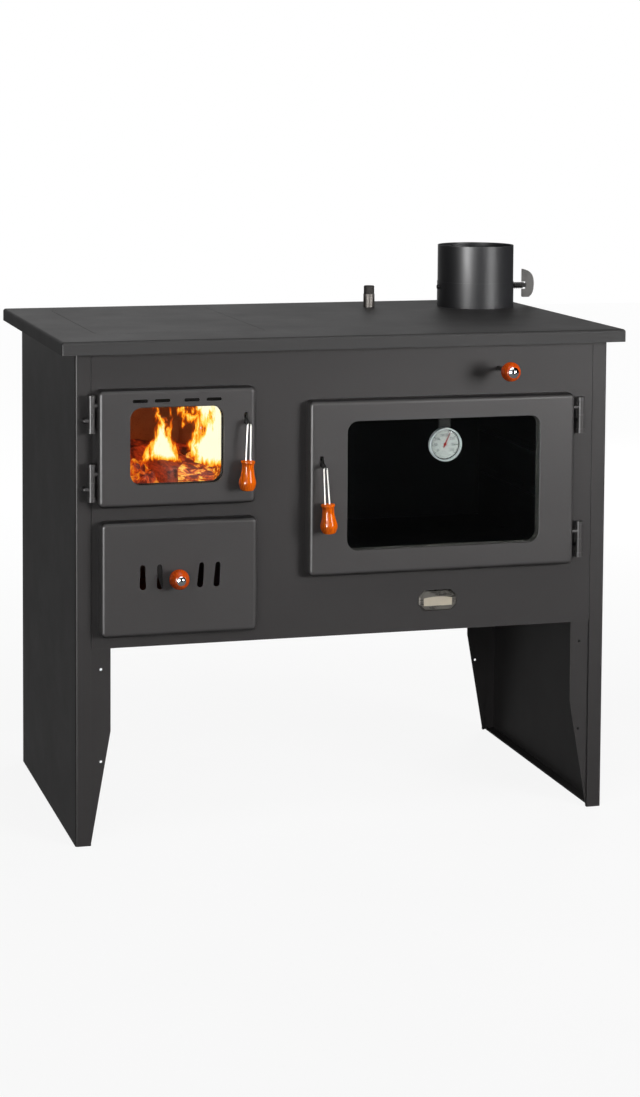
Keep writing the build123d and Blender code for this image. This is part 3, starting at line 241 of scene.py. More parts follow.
def ramp(tree, factor, stops):
    """A colour ramp through (place, colour) stops."""
    made = tree.nodes.new("ShaderNodeValToRGB")
    connect(tree, made.inputs, {"Fac": factor})
    elements = made.color_ramp.elements
    while len(elements) < len(stops):
        elements.new(1)
    for element, (place, colour) in zip(elements, stops):
        element.position = place
        element.color = (*colour, 1)
    return made.outputs["Color"]


def bump(tree, height, relief, strength):
    """A normal that follows a height, with its relief in millimetres."""
    inputs = {"Height": height, "Distance": relief / 1000, "Strength": strength}
    return add_node(tree, "ShaderNodeBump", inputs)["Normal"]


# ---------------------------------------------------------------- effects that several finishes share
FLOAT = "NodeSocketFloat"
COLOUR = "NodeSocketColor"


def group(name, inputs, outputs):
    """A new shader node group; returns its tree, what comes into it and what leaves it."""
    tree = bpy.data.node_groups.new(name, "ShaderNodeTree")
    for label, default in inputs.items():
        kind = COLOUR if isinstance(default, tuple) else FLOAT
        tree.interface.new_socket(name=label, in_out="INPUT", socket_type=kind).default_value = default
    for label, kind in outputs.items():
        tree.interface.new_socket(name=label, in_out="OUTPUT", socket_type=kind)
    return tree, tree.nodes.new("NodeGroupInput").outputs, tree.nodes.new("NodeGroupOutput").inputs


def stove_paint_group():
    """Matt stove paint: fine orange peel, faint clouds of colour and gloss."""
    tree, given, out = group(
        "stove_paint",
        {"Colour": (0.05, 0.05, 0.05, 1), "Clouds": 0.1, "Gloss": 0.5},
        {"Colour": COLOUR, "Roughness": FLOAT, "Height": FLOAT},
    )
    place = object_place(tree)
    cloud = noise(tree, place, 4.2, detail=4, roughness=0.6)
    speck = noise(tree, place, 620, roughness=0.6)
    smear = noise(tree, place, 11, detail=5, roughness=0.65)
    peel = noise(tree, place, 950, detail=3, roughness=0.55)
    lift = times(tree, spread(tree, cloud, (0.3, 0.7), (-0.5, 0.5)), given["Clouds"])
    lift = plus(tree, lift, spread(tree, speck, (0.3, 0.7), (0.97, 1.03)))
    connect(tree, out, {
        "Colour": toned(tree, given["Colour"], lift),
        "Roughness": plus(tree, given["Gloss"], spread(tree, smear, (0.35, 0.7), (-0.02, 0.03))),
        "Height": plus(tree, times(tree, speck, 0.6), peel),
    })
    return tree


def edge_wear_group():
    """Mask of sharp outside edges, broken up as handling breaks it."""
    tree, given, out = group("edge_wear", {"Width": 0.002, "Amount": 0.5}, {"Mask": FLOAT})
    rounded = add_node(tree, "ShaderNodeBevel", {"Radius": given["Width"]}, samples=4)["Normal"]
    flat = add_node(tree, "ShaderNodeNewGeometry")["Normal"]
    turn = add_node(tree, "ShaderNodeVectorMath", {0: rounded, 1: flat}, operation="DOT_PRODUCT")["Value"]
    edge = spread(tree, turn, (0.995, 0.8))
    patches = noise(tree, object_place(tree), 60, detail=4, roughness=0.7)
    broken = times(tree, edge, spread(tree, patches, (0.35, 0.65), (0.35, 1)))
    connect(tree, out, {"Mask": times(tree, broken, given["Amount"], clamp=True)})
    return tree


def grain_group():
    """Rolled or brushed grain along X: streaks of gloss and height."""
    tree, given, out = group(
        "brushed_grain",
        {"Across": 900.0, "Along": 12.0, "Gloss": 0.35, "Streak": 0.15},
        {"Roughness": FLOAT, "Height": FLOAT, "Tone": FLOAT},
    )
    place = object_place(tree)
    along, across = given["Along"], given["Across"]
    lumps = add_node(tree, "ShaderNodeCombineXYZ", {"X": along, "Y": across, "Z": across})[0]
    streak = noise(tree, stretched(tree, place, lumps), 1, detail=3, roughness=0.6)
    blotch = noise(tree, place, 24, detail=4, roughness=0.6)
    rough = times(tree, spread(tree, streak, (0.3, 0.7), (-1, 1)), given["Streak"])
    rough = plus(tree, rough, spread(tree, blotch, (0.35, 0.7), (-0.05, 0.08)))
    connect(tree, out, {
        "Roughness": plus(tree, rough, given["Gloss"], clamp=True),
        "Height": streak,
        "Tone": spread(tree, blotch, (0.3, 0.7), (0.86, 1.08)),
    })
    return tree


def cast_group():
    """Sand-cast or fired surface: pits, lumps and a blotchy tone."""
    tree, given, out = group("cast_skin", {"Scale": 220.0}, {"Height": FLOAT, "Tone": FLOAT})
    place = object_place(tree)
    cells = {"Vector": place, "Scale": given["Scale"]}
    pits = add_node(tree, "ShaderNodeTexVoronoi", cells, feature="SMOOTH_F1")["Distance"]
    lumps = noise(tree, place, 70, detail=5, roughness=0.65)
    blotch = noise(tree, place, 18, detail=6, roughness=0.7)
    connect(tree, out, {
        "Height": plus(tree, times(tree, pits, 0.6), lumps),
        "Tone": spread(tree, blotch, (0.3, 0.7), (0.72, 1.15)),
    })
    return tree


def wood_group():
    """Long varnished grain with pores, along the height of the piece."""
    tree, given, out = group(
        "turned_wood",
        {"Light": (0.8, 0.3, 0.1, 1), "Dark": (0.4, 0.1, 0.02, 1)},
        {"Colour": COLOUR, "Height": FLOAT},
    )
    place = object_place(tree)
    warp = stretched(tree, place, (1, 1, 0.16))
    waves = {"Vector": warp, "Scale": 120, "Distortion": 7, "Detail": 3, "Detail Scale": 1.6}
    rings = add_node(tree, "ShaderNodeTexWave", waves, wave_type="BANDS", bands_direction="X")["Fac"]
    pores = noise(tree, stretched(tree, place, (900, 900, 40)), 1)
    factor = times(tree, spread(tree, rings, (0.2, 0.9)), 0.6)
    factor = plus(tree, factor, spread(tree, pores, (0.5, 0.72), (0, 0.35)), clamp=True)
    connect(tree, out, {"Colour": mixed(tree, factor, given["Light"], given["Dark"]), "Height": pores})
    return tree


# A column of fire in metres: foot and tip across, half width at each, lowest and highest point
COLUMN = ("Foot", "Tip", "Foot width", "Tip width", "From", "To")
# How much the field grows for each metre inside a column's outline
FIELD_SLOPE = 62.0


def flame_column_group():
    """Field of one column of fire: how far inside its swaying outline a point lies."""
    inputs = dict.fromkeys(("Across", "Up", *COLUMN), 0.0)
    tree, given, out = group("flame_column", inputs, {"Field": FLOAT})
    rise = spread(tree, given["Up"], (given["From"], given["To"]))
    sway = times(tree, minus(tree, given["Tip"], given["Foot"]), maths(tree, "POWER", rise, 1.8))
    centre = plus(tree, given["Foot"], sway)
    taper = maths(tree, "POWER", minus(tree, 1.0, rise), 1.25)
    width = times(tree, minus(tree, given["Foot width"], given["Tip width"]), taper)
    width = plus(tree, given["Tip width"], width)
    aside = maths(tree, "ABSOLUTE", minus(tree, given["Across"], centre))
    below = minus(tree, given["Up"], given["From"])
    above = minus(tree, given["To"], given["Up"])
    inside = smaller(tree, minus(tree, width, aside), smaller(tree, below, above))
    connect(tree, out, {"Field": times(tree, inside, FIELD_SLOPE)})
    return tree


GROUPS = {
    "stove_paint": stove_paint_group,
    "edge_wear": edge_wear_group,
    "brushed_grain": grain_group,
    "cast_skin": cast_group,
    "turned_wood": wood_group,
    "flame_column": flame_column_group,
}


def effect(tree, name, inputs):
    """One of the shared effects, placed in a material with its own values; returns its outputs."""
    made = tree.nodes.new("ShaderNodeGroup")
    made.node_tree = bpy.data.node_groups.get(name) or GROUPS[name]()
    connect(tree, made.inputs, inputs)
    return made.outputs


# ---------------------------------------------------------------- finishes
# Near-black of the painted shade on faces turned up, down or right
PAINTED_SHADE = shade(16, 15, 15)
EDGE_WIDTH = 0.0022


def new_finish(name):
    """An empty material with its shader; returns the material, its tree and the shader."""
    made = bpy.data.materials.new(name)
    made.use_nodes = True
    tree = made.node_tree
    tree.nodes.clear()
    shader = tree.nodes.new("ShaderNodeBsdfPrincipled")
    add_node(tree, "ShaderNodeOutputMaterial", {"Surface": shader.outputs[0]})
    return made, tree, shader


def paint(name, colour, gloss, specular, clouds, wear, soot=0.0):
    """Matt stove paint, lighter where its edges are worn; painted shade darkens what faces up, down or right.
    """
    made, tree, shader = new_finish(name)
    skin = effect(tree, "stove_paint", {"Colour": colour, "Clouds": clouds, "Gloss": gloss})
    worn = effect(tree, "edge_wear", {"Width": EDGE_WIDTH, "Amount": wear})["Mask"]
    surface = mixed(tree, worn, skin["Colour"], colours().worn_edge)
    # Painted shade: faces turned up, down or to the right darken towards near-black, standing in for the
    # shadow lines round the doors
    if soot:
        facing = split(tree, add_node(tree, "ShaderNodeTexCoord")["Normal"])
        level = spread(tree, maths(tree, "ABSOLUTE", facing["Z"]), (0.35, 0.75), (0, soot))
        right = spread(tree, facing["X"], (0.55, 0.9), (0, soot * 0.7))
        surface = mixed(tree, larger(tree, level, right), surface, PAINTED_SHADE)
    connect(tree, shader.inputs, {
        "Base Color": surface,
        "Roughness": skin["Roughness"],
        "Specular IOR Level": specular,
        "Normal": bump(tree, skin["Height"], relief=0.05, strength=0.6),
    })
    return made


def body_paint():
    return paint("charcoal_body_paint", colours().body, 0.4, 0.2, clouds=0.07, wear=0.12)


def door_paint():
    # The doors' paint carries painted shade on their top, bottom and right sides
    return paint("charcoal_door_paint", colours().door, 0.36, 0.3, clouds=0.07, wear=0.3, soot=0.9)


def cooktop_paint():
    return paint("charcoal_cooktop_paint", colours().cooktop, 0.54, 0.3, clouds=0.08, wear=0.08)


def flue_paint():
    return paint("charcoal_flue_paint", colours().flue, 0.4, 0.5, clouds=0.06, wear=0.0)


def sooted_steel():
    return paint("soot_blackened_steel", shade(26, 24, 23), 0.8, 0.15, clouds=0.5, wear=0.15)


def oven_enamel():
    return paint("black_oven_enamel", shade(9, 11, 12), 0.34, 0.3, clouds=0.3, wear=0.1)


def metal(name, colour, gloss, streak, across=700.0, along=14.0, relief=0.02, metallic=1.0):
    """Bare or plated metal, with so many grains per metre across and along it."""
    made, tree, shader = new_finish(name)
    values = {"Across": across, "Along": along, "Gloss": gloss, "Streak": streak}
    grain = effect(tree, "brushed_grain", values)
    connect(tree, shader.inputs, {
        "Base Color": toned(tree, colour, grain["Tone"]),
        "Roughness": grain["Roughness"],
        "Metallic": metallic,
        "Normal": bump(tree, grain["Height"], relief, strength=0.5),
    })
    return made


def mild_steel():
    return metal("rolled_mild_steel", shade(118, 114, 110), 0.5, 0.08, across=500, along=20, relief=0.03)


def zinc_steel():
    return metal("zinc_plated_steel", shade(186, 186, 182), 0.34, 0.06, across=420, along=60)


def black_steel():
    return metal("blackened_steel", shade(58, 57, 56), 0.44, 0.08, across=600, along=30, metallic=0.6)


def key_steel():
    return metal("satin_key_steel", shade(66, 65, 64), 0.42, 0.08, across=900, along=10, relief=0.01)


def chrome():
    return metal("polished_chrome", shade(214, 214, 216), 0.07, 0.015, across=300, along=300, relief=0.002)


def bright_wire():
    return metal("bright_handle_wire", shade(236, 233, 226), 0.36, 0.05, metallic=0.55)


def bezel_steel():
    return metal("satin_bezel_steel", shade(206, 209, 209), 0.34, 0.06, metallic=0.5)


def badge_metal():
    return metal("pewter_badge", shade(116, 113, 108), 0.3, 0.08, across=1200, along=60)


def badge_plate():
    return metal("pale_badge_brass", shade(184, 175, 158), 0.42, 0.1, across=1400, along=30, metallic=0.5)


def cast_iron():
    """Sand-cast iron, rough and barely shining."""
    made, tree, shader = new_finish("sand_cast_iron")
    skin = effect(tree, "cast_skin", {"Scale": 320.0})
    connect(tree, shader.inputs, {
        "Base Color": toned(tree, shade(58, 55, 52), skin["Tone"]),
        "Roughness": 0.72,
        "Metallic": 0.4,
        "Normal": bump(tree, skin["Height"], relief=0.4, strength=0.6),
    })
    return made


def fire_brick():
    """Fired clay with darker grog, sooted in patches."""
    made, tree, shader = new_finish("fired_clay_brick")
    skin = effect(tree, "cast_skin", {"Scale": 160.0})
    place = object_place(tree)
    grog = spread(tree, noise(tree, place, 340), (0.6, 0.68), (0, 0.5))
    # Soot in random patches on the brick
    soot = spread(tree, noise(tree, place, 9, detail=5, roughness=0.6), (0.42, 0.68), (0, 0.6))
    clay = mixed(tree, grog, toned(tree, colours().brick, skin["Tone"]), shade(120, 84, 60))
    connect(tree, shader.inputs, {
        "Base Color": mixed(tree, soot, clay, shade(52, 44, 38)),
        "Roughness": 0.9,
        "Normal": bump(tree, skin["Height"], relief=0.6, strength=0.7),
    })
    return made


def varnished(name, light, dark):
    """Turned wood under a clear, glossy varnish."""
    made, tree, shader = new_finish(name)
    wood = effect(tree, "turned_wood", {"Light": light, "Dark": dark})
    connect(tree, shader.inputs, {
        "Base Color": wood["Colour"],
        "Roughness": 0.5,
        "Specular IOR Level": 0.0,
        "Coat Weight": 0.5,
        "Coat Roughness": 0.08,
        "Normal": bump(tree, wood["Height"], relief=0.02, strength=0.3),
    })
    return made


def varnished_wood():
    return varnished("varnished_turned_wood", colours().wood_light, colours().wood_dark)


def stained_wood():
    return varnished("stained_turned_wood", colours().knob_light, colours().knob_dark)


def glass(name, tint, specular):
    """Clear glass with a faint haze; lamps shine through it."""
    made, tree, shader = new_finish(name)
    haze = noise(tree, object_place(tree), 9, detail=5, roughness=0.6)
    haze = spread(tree, haze, (0.4, 0.75), (0, 0.12))
    connect(tree, shader.inputs, {
        "Base Color": mixed(tree, haze, tint, shade(120, 112, 100)),
        "Roughness": 0.0,
        "Transmission Weight": 1.0,
        "IOR": 1.45,
        "Specular IOR Level": specular,
    })
    clear = add_node(tree, "ShaderNodeBsdfTransparent", {"Color": tint})[0]
    shadow = add_node(tree, "ShaderNodeLightPath")["Is Shadow Ray"]
    both = add_node(tree, "ShaderNodeMixShader", {0: shadow, 1: shader.outputs[0], 2: clear})[0]
    out = next(node for node in tree.nodes if node.type == "OUTPUT_MATERIAL")
    connect(tree, out.inputs, {"Surface": both})
    return made


def fire_glass():
    return glass("clear_ceramic_glass", (0.96, 0.97, 0.96), specular=0.12)


def oven_glass():
    return glass("oven_door_glass", (0.66, 0.69, 0.69), specular=0.12)


def lens_glass():
    return glass("dial_lens_glass", (0.98, 0.98, 0.98), specular=0.3)


def rope():
    """Glass-fibre rope, fuzzy and greyed by smoke in patches."""
    made, tree, shader = new_finish("glass_fibre_rope")
    place = object_place(tree)
    fibre = noise(tree, place, 1400, detail=3, roughness=0.6)
    smoke = spread(tree, noise(tree, place, 16, detail=5, roughness=0.65), (0.45, 0.7), (0, 0.55))
    strands = mixed(tree, spread(tree, fibre, (0.3, 0.7), (0, 0.5)), colours().rope, shade(150, 144, 132))
    connect(tree, shader.inputs, {
        "Base Color": mixed(tree, smoke, strands, shade(88, 80, 70)),
        "Roughness": 0.88,
        "Sheen Weight": 0.3,
        "Normal": bump(tree, fibre, relief=0.12, strength=0.7),
    })
    return made


def dial_white():
    """Pale enamel of the thermometer's dial."""
    made, tree, shader = new_finish("pale_dial_enamel")
    place = object_place(tree)
    aged = spread(tree, noise(tree, place, 90, detail=4, roughness=0.6), (0.35, 0.7), (0, 0.25))
    connect(tree, shader.inputs, {
        "Base Color": mixed(tree, aged, colours().dial, shade(196, 194, 182)),
        "Roughness": spread(tree, noise(tree, place, 700), (0.3, 0.7), (0.34, 0.46)),
    })
    return made


def mottled(name, main, other, scale, source, share, roughness):
    """A thin coat of one colour, mottled with a share of another."""
    made, tree, shader = new_finish(name)
    patches = spread(tree, noise(tree, object_place(tree), scale), source, (0, share))
    connect(tree, shader.inputs, {"Base Color": mixed(tree, patches, main, other), "Roughness": roughness})
    return made


def dial_ink():
    return mottled("dial_printing_ink", shade(26, 26, 28), shade(58, 58, 60), 1600, (0.35, 0.7), 1, 0.6)


def needle_red():
    return mottled("red_needle_lacquer", shade(176, 26, 20), shade(120, 16, 14), 900, (0.3, 0.7), 0.4, 0.35)


# ---------------------------------------------------------------- finishes of the fire, which the stove holds
NEAR_COLUMNS = (
    (-0.312, -0.327, 0.036, 0.002, 0.632, 0.742),
    (-0.300, -0.292, 0.012, 0.002, 0.650, 0.738),
    (-0.230, -0.246, 0.034, 0.018, 0.628, 0.800),
    (-0.258, -0.282, 0.012, 0.006, 0.640, 0.790),
    (-0.348, -0.340, 0.006, 0.002, 0.596, 0.650),
)
FAR_COLUMNS = (
    (-0.302, -0.290, 0.012, 0.002, 0.610, 0.700),
    (-0.212, -0.224, 0.022, 0.014, 0.600, 0.790),
)
# How far, in metres, noise moves the fire: broad and fine noise across, and fine noise up
SWING, FLUTTER, LICK = 0.075, 0.034, 0.016


def flame(name, columns, torn):
    """Burning gas on an upright sheet: white-hot inside each column, orange and torn at its rim."""
    made, tree, shader = new_finish(name)
    place = object_place(tree)
    parts = split(tree, place)
    height = spread(tree, parts["Z"], (0.60, 0.74), (0.35, 1))
    broad = noise(tree, stretched(tree, place, (26, 26, 17)), 1)
    fine = noise(tree, stretched(tree, place, (95, 95, 48)), 1, detail=3, roughness=0.6, distortion=0.6)
    streak = noise(tree, stretched(tree, place, (150, 150, 34)), 1, detail=3, roughness=0.6, distortion=1.2)
    broad, fine, streak = (minus(tree, value, 0.5) for value in (broad, fine, streak))
    swing = times(tree, broad, times(tree, height, SWING))
    flutter = times(tree, fine, times(tree, height, FLUTTER))
    across = plus(tree, parts["X"], plus(tree, swing, flutter))
    up = plus(tree, parts["Z"], times(tree, fine, LICK))
    field = -1.0
    for column in columns:
        inputs = {"Across": across, "Up": up, **dict(zip(COLUMN, column))}
        field = larger(tree, effect(tree, "flame_column", inputs)["Field"], field)
    heat = plus(tree, field, times(tree, streak, torn))
    glow = (
        (0.0, shade(150, 30, 0)),
        (0.14, shade(226, 84, 6)),
        (0.3, shade(255, 160, 30)),
        (0.48, shade(255, 222, 96)),
        (0.72, shade(255, 248, 214)),
    )
    seen = minus(tree, 1.0, add_node(tree, "ShaderNodeLightPath")["Is Diffuse Ray"])
    connect(tree, shader.inputs, {
        "Base Color": (0, 0, 0),
        "Specular IOR Level": 0,
        "Emission Color": ramp(tree, times(tree, heat, 0.8, clamp=True), glow),
        "Emission Strength": times(tree, seen, 1.25),
        "Alpha": spread(tree, heat, (-0.02, 0.3)),
    })
    return made


def near_flame():
    return flame("burning_gas_near", NEAR_COLUMNS, torn=1.25)


def far_flame():
    return flame("burning_gas_far", FAR_COLUMNS, torn=1.3)


def burning_log():
    """Split wood, charred in patches, with the red light of the coals painted into its glow."""
    made, tree, shader = new_finish("burning_split_wood")
    place = object_place(tree)
    fibre = noise(tree, stretched(tree, place, (210, 16, 210)), 1, detail=4, roughness=0.6)
    char = spread(tree, noise(tree, place, 26, detail=5, roughness=0.65), (0.46, 0.62))
    wood = mixed(tree, spread(tree, fibre, (0.3, 0.7)), shade(168, 70, 34), shade(96, 34, 16))
    painted_coal_light = mixed(tree, spread(tree, fibre, (0.35, 0.65)), shade(176, 54, 14), shade(104, 24, 6))
    connect(tree, shader.inputs, {
        "Base Color": mixed(tree, char, wood, shade(34, 18, 12)),
        # Painted light: the glow stands in for the coals' red light on the wood, brightest where it is not
        # charred
        "Emission Color": mixed(tree, char, painted_coal_light, shade(58, 12, 4)),
        "Emission Strength": 0.7,
        "Roughness": 0.85,
        "Normal": bump(tree, fibre, relief=1.2, strength=0.8),
    })
    return made


def flaming_log():
    """Split wood whose side is alight in long streaks."""
    made, tree, shader = new_finish("flaming_split_wood")
    along = stretched(tree, object_place(tree), (60, 22, 190))
    lines = noise(tree, along, 1, detail=4, roughness=0.62, distortion=0.5)
    glow = (
        (0.0, shade(92, 18, 4)),
        (0.35, shade(196, 62, 8)),
        (0.6, shade(255, 142, 26)),
        (0.85, shade(255, 216, 90)),
    )
    connect(tree, shader.inputs, {
        "Base Color": shade(60, 26, 14),
        "Emission Color": ramp(tree, spread(tree, lines, (0.42, 0.64)), glow),
        "Emission Strength": 1.0,
        "Roughness": 0.85,
        "Normal": bump(tree, lines, relief=1.6, strength=0.8),
    })
    return made


def glowing_coals():
    """Red-hot coals with dark gaps and brighter specks."""
    made, tree, shader = new_finish("glowing_coal_bed")
    place = object_place(tree)
    lump = noise(tree, place, 85, detail=4, roughness=0.65, distortion=0.8)
    broad = noise(tree, place, 30, detail=3, roughness=0.6)
    heat = plus(tree, times(tree, lump, 0.8), times(tree, broad, 0.4))
    glow = (
        (0.42, shade(44, 8, 4)),
        (0.54, shade(124, 26, 2)),
        (0.63, shade(214, 70, 6)),
        (0.74, shade(255, 168, 34)),
    )
    connect(tree, shader.inputs, {
        "Base Color": shade(40, 30, 28),
        "Emission Color": ramp(tree, heat, glow),
        "Emission Strength": 0.95,
        "Roughness": 0.95,
        "Normal": bump(tree, lump, relief=3.0, strength=0.8),
    })
    return made


# ---------------------------------------------------------------- which piece has which finish
FINISHES = {
    make.__name__: make
    for make in (
        body_paint, door_paint, cooktop_paint, flue_paint, sooted_steel, oven_enamel,
        mild_steel, zinc_steel, black_steel, key_steel, chrome, bright_wire, bezel_steel,
        badge_metal, badge_plate, cast_iron, fire_brick, varnished_wood, stained_wood,
        fire_glass, oven_glass, lens_glass, rope, dial_white, dial_ink, needle_red,
        near_flame, far_flame, burning_log, flaming_log, glowing_coals,
    )
}
made_finishes = {}

# Nodes whose finish isn't the one that their own slot names
OWN_FINISH = {
    "oven_box": "oven_enamel",
    "oven_runners": "oven_enamel",
    "fire_door_liner": "sooted_steel",
    "firebox_casing": "sooted_steel",
    "register_plate": "sooted_steel",
    "damper_key": "key_steel",
    "thermometer_strap": "key_steel",
    "thermometer_case": "bezel_steel",
    "hinge_pins": "zinc_steel",
    "fire_handle_wire": "bright_wire",
    "oven_handle_wire": "bright_wire",
    "badge_plate": "badge_plate",
    "fire_door_glass": "fire_glass",
    "oven_door_glass": "oven_glass",
}


def finish(name):
    """The finish of that name, made the first time it is asked for."""
    if name not in made_finishes:
        made_finishes[name] = FINISHES[name]()
    return made_finishes[name]


def coat(piece, name):
    """Give a piece one finish."""
    piece.data.materials.clear()
    piece.data.materials.append(finish(name))


# ---------------------------------------------------------------- modelling by hand
def deselect():
    bpy.ops.object.select_all(action="DESELECT")


def only(piece):
    """Make a piece the one that operators act on."""
    deselect()
    piece.select_set(True)
    bpy.context.view_layer.objects.active = piece


def editing(piece):
    """Enter edit mode on a piece; returns its mesh there."""
    only(piece)
    bpy.ops.object.mode_set(mode="EDIT")
    return bmesh.from_edit_mesh(piece.data)


def pick_faces(piece, wanted):
    """In edit mode, select just the faces that the test accepts."""
    mesh = bmesh.from_edit_mesh(piece.data)
    for part in (*mesh.verts, *mesh.edges, *mesh.faces):
        part.select = False
    for face in mesh.faces:
        if wanted(face):
            face.select_set(True)
    bmesh.update_edit_mesh(piece.data)


def smooth(piece, degrees):
    """Shade a piece smooth, apart from edges sharper than an angle."""
    only(piece)
    bpy.ops.object.shade_smooth_by_angle(angle=math.radians(degrees))


def close(piece, degrees):
    """Leave edit mode with merged doubles, outward normals and soft curves."""
    bpy.ops.mesh.select_all(action="SELECT")
    bpy.ops.mesh.remove_doubles(threshold=1e-6)
    bpy.ops.mesh.normals_make_consistent(inside=False)
    bpy.ops.object.mode_set(mode="OBJECT")
    smooth(piece, degrees)


def modify(piece, kind, **settings):
    """Add a modifier and apply it."""
    only(piece)
    bpy.ops.object.modifier_add(type=kind)
    made = piece.modifiers[-1]
    for name, value in settings.items():
        setattr(made, name, value)
    bpy.ops.object.modifier_apply(modifier=made.name)


def roughen(piece, kind, lump, strength, level, space):
    """Push a surface in and out by a texture whose lumps have this size."""
    texture = bpy.data.textures.new(piece.name, kind)
    texture.noise_scale = lump
    modify(piece, "DISPLACE", texture=texture, strength=strength, mid_level=level, texture_coords=space)


def apply_place(piece):
    """Put a piece's place, turn and scale into its mesh."""
    only(piece)
    bpy.ops.object.transform_apply(location=True, rotation=True, scale=True)


def set_down(piece, place):
    """Move a piece by a matrix, which goes into its mesh."""
    piece.matrix_world = place
    apply_place(piece)


def settle(piece, name, body, finish_name, replaces=()):
    """Name a finished piece, give it its finish and let it ride."""
    piece.name = name
    piece.data.name = name
    coat(piece, finish_name)
    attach(piece, body)
    if replaces:
        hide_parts(*replaces)


def turn_on_lathe(profile, segments):
    """A solid of revolution about Z at the origin, pulled up ring by ring from (radius, height) steps."""
    deselect()
    bpy.ops.mesh.primitive_circle_add(
        vertices=segments, radius=profile[0][0], fill_type="NGON", location=(0, 0, profile[0][1])
    )
    piece = bpy.context.active_object
    apply_place(piece)
    editing(piece)
    bpy.ops.mesh.select_all(action="SELECT")
    for (radius, height), (next_radius, next_height) in zip(profile, profile[1:]):
        bpy.ops.mesh.extrude_region_move(TRANSFORM_OT_translate={"value": (0, 0, next_height - height)})
        size = next_radius / radius
        bpy.ops.transform.resize(value=(size, size, 1), center_override=(0, 0, next_height))
    close(piece, 40)
    return piece


def copied(piece):
    """A copy of a piece, with its own mesh."""
    only(piece)
    bpy.ops.object.duplicate()
    return bpy.context.active_object


def join_pieces(pieces):
    """Several meshes as one."""
    only(pieces[0])
    for piece in pieces:
        piece.select_set(True)
    bpy.ops.object.join()
    return pieces[0]


# ---------------------------------------------------------------- operators, one for each piece or group
class COOKSTOVE_OT_finish_sheet_metal(bpy.types.Operator):
    """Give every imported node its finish"""

    bl_idname = "cookstove.finish_sheet_metal"
    bl_label = "Finish the packed nodes"

    def execute(self, context):
        for name, node in nodes.items():
            materials = node.data.materials
            wanted = OWN_FINISH.get(name, materials[0].name.split(".")[0])
            if wanted not in FINISHES:
                raise RuntimeError(f"no finish for {name}: {wanted}")
            for index in range(len(materials)):
                materials[index] = finish(wanted)
        return {"FINISHED"}


# The dial's scale: where it starts and how far it sweeps, in degrees from the top, and its marks
SCALE_START, SCALE_SWEEP = -130, 260
NUMBERS, NUMBER_STEP, TICKS_PER_NUMBER = 8, 50, 5
# The print in metres: how far it stands up, its margin inside the dial's edge, the ring and the ticks
PRINT_RISE, PRINT_MARGIN = 0.00004, 0.0034
RING_WIDTH, RING_GAP = 0.0020, 0.0002
LONG_TICK_WIDTH, SHORT_TICK_WIDTH, TICK_DEPTH = 0.0009, 0.0005, 0.00008
SHORT_TICK_SHARE = 0.6
# The lens in metres: its gap to the case's side and front, its edge, and its dome in shares
LENS_GAP, LENS_SEAT, LENS_EDGE = 0.0025, 0.0024, 0.0006
LENS_DOME = ((1, 0), (0.8, 0.4), (0.55, 0.74), (0.3, 0.93), (0.06, 1))


class COOKSTOVE_OT_print_dial(bpy.types.Operator):
    """Print the thermometer's numbers and ticks, and set its domed lens"""

    bl_idname = "cookstove.print_dial"
    bl_label = "Thermometer dial and lens"

    def execute(self, context):
        low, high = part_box("thermometer_dial")
        centre = middle("thermometer_dial", depth=low.y)
        outer = (high.x - low.x) / 2 - PRINT_MARGIN
        marks = join_pieces([*self.numbers(centre), *self.ticks(centre, outer), self.ring(centre, outer)])
        settle(marks, "thermometer_print", "oven_door", "dial_ink")
        self.lens(centre)
        return {"FINISHED"}

    def angle(self, index, count):
        """Degrees to one of the marks that divide the scale into count parts."""
        return SCALE_START + SCALE_SWEEP * index / count

    def numbers(self, centre):
        """Each number, as thin raised print."""
        size = sizes()
        for index in range(NUMBERS):
            angle = math.radians(self.angle(index, NUMBERS - 1))
            deselect()
            bpy.ops.object.text_add(location=(0, 0, 0))
            text = bpy.context.active_object
            text.data.body = str(NUMBER_STEP * index)
            text.data.size = size.numeral_height
            text.data.align_x = "CENTER"
            text.data.align_y = "CENTER"
            text.data.extrude = PRINT_RISE
            bpy.ops.object.convert(target="MESH")
            spot = Vector((math.sin(angle) * size.numeral_radius, 0, math.cos(angle) * size.numeral_radius))
            set_down(text, shifted(centre + spot) @ FRONTWARD)
            yield text

    def ticks(self, centre, outer):
        """Each tick, long at a number and short between."""
        count = TICKS_PER_NUMBER * (NUMBERS - 1)
        for index in range(count + 1):
            width, reach = LONG_TICK_WIDTH, sizes().tick_length
            if index % TICKS_PER_NUMBER:
                width, reach = SHORT_TICK_WIDTH, reach * SHORT_TICK_SHARE
            deselect()
            bpy.ops.mesh.primitive_cube_add(size=1)
            tick = bpy.context.active_object
            size = Matrix.Diagonal((width, TICK_DEPTH, reach, 1))
            turn = turned(self.angle(index, count), "Y")
            set_down(tick, shifted(centre) @ turn @ shifted((0, 0, outer - reach / 2)) @ size)
            yield tick

    def ring(self, centre, outer):
        """The thin ring round the ticks."""
        radius = outer + RING_WIDTH + RING_GAP
        ring = turn_on_lathe([(radius, 0), (radius, PRINT_RISE)], 72)
        editing(ring)
        pick_faces(ring, lambda face: abs(face.normal.z) > 0.9)
        bpy.ops.mesh.inset(thickness=RING_WIDTH)
        bpy.ops.mesh.delete(type="FACE")
        bpy.ops.object.mode_set(mode="OBJECT")
        set_down(ring, shifted(centre) @ FRONTWARD)
        return ring

    def lens(self, centre):
        """Domed glass, seated in the case's bezel."""
        low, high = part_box("thermometer_case")
        radius = (high.x - low.x) / 2 - LENS_GAP
        rise = sizes().lens_rise
        dome = [(radius * across, LENS_EDGE + rise * up) for across, up in LENS_DOME]
        lens = turn_on_lathe([(radius, 0), *dome], 64)
        set_down(lens, shifted((centre.x, low.y + LENS_SEAT, centre.z)) @ FRONTWARD)
        settle(lens, "thermometer_lens", "oven_door", "lens_glass")


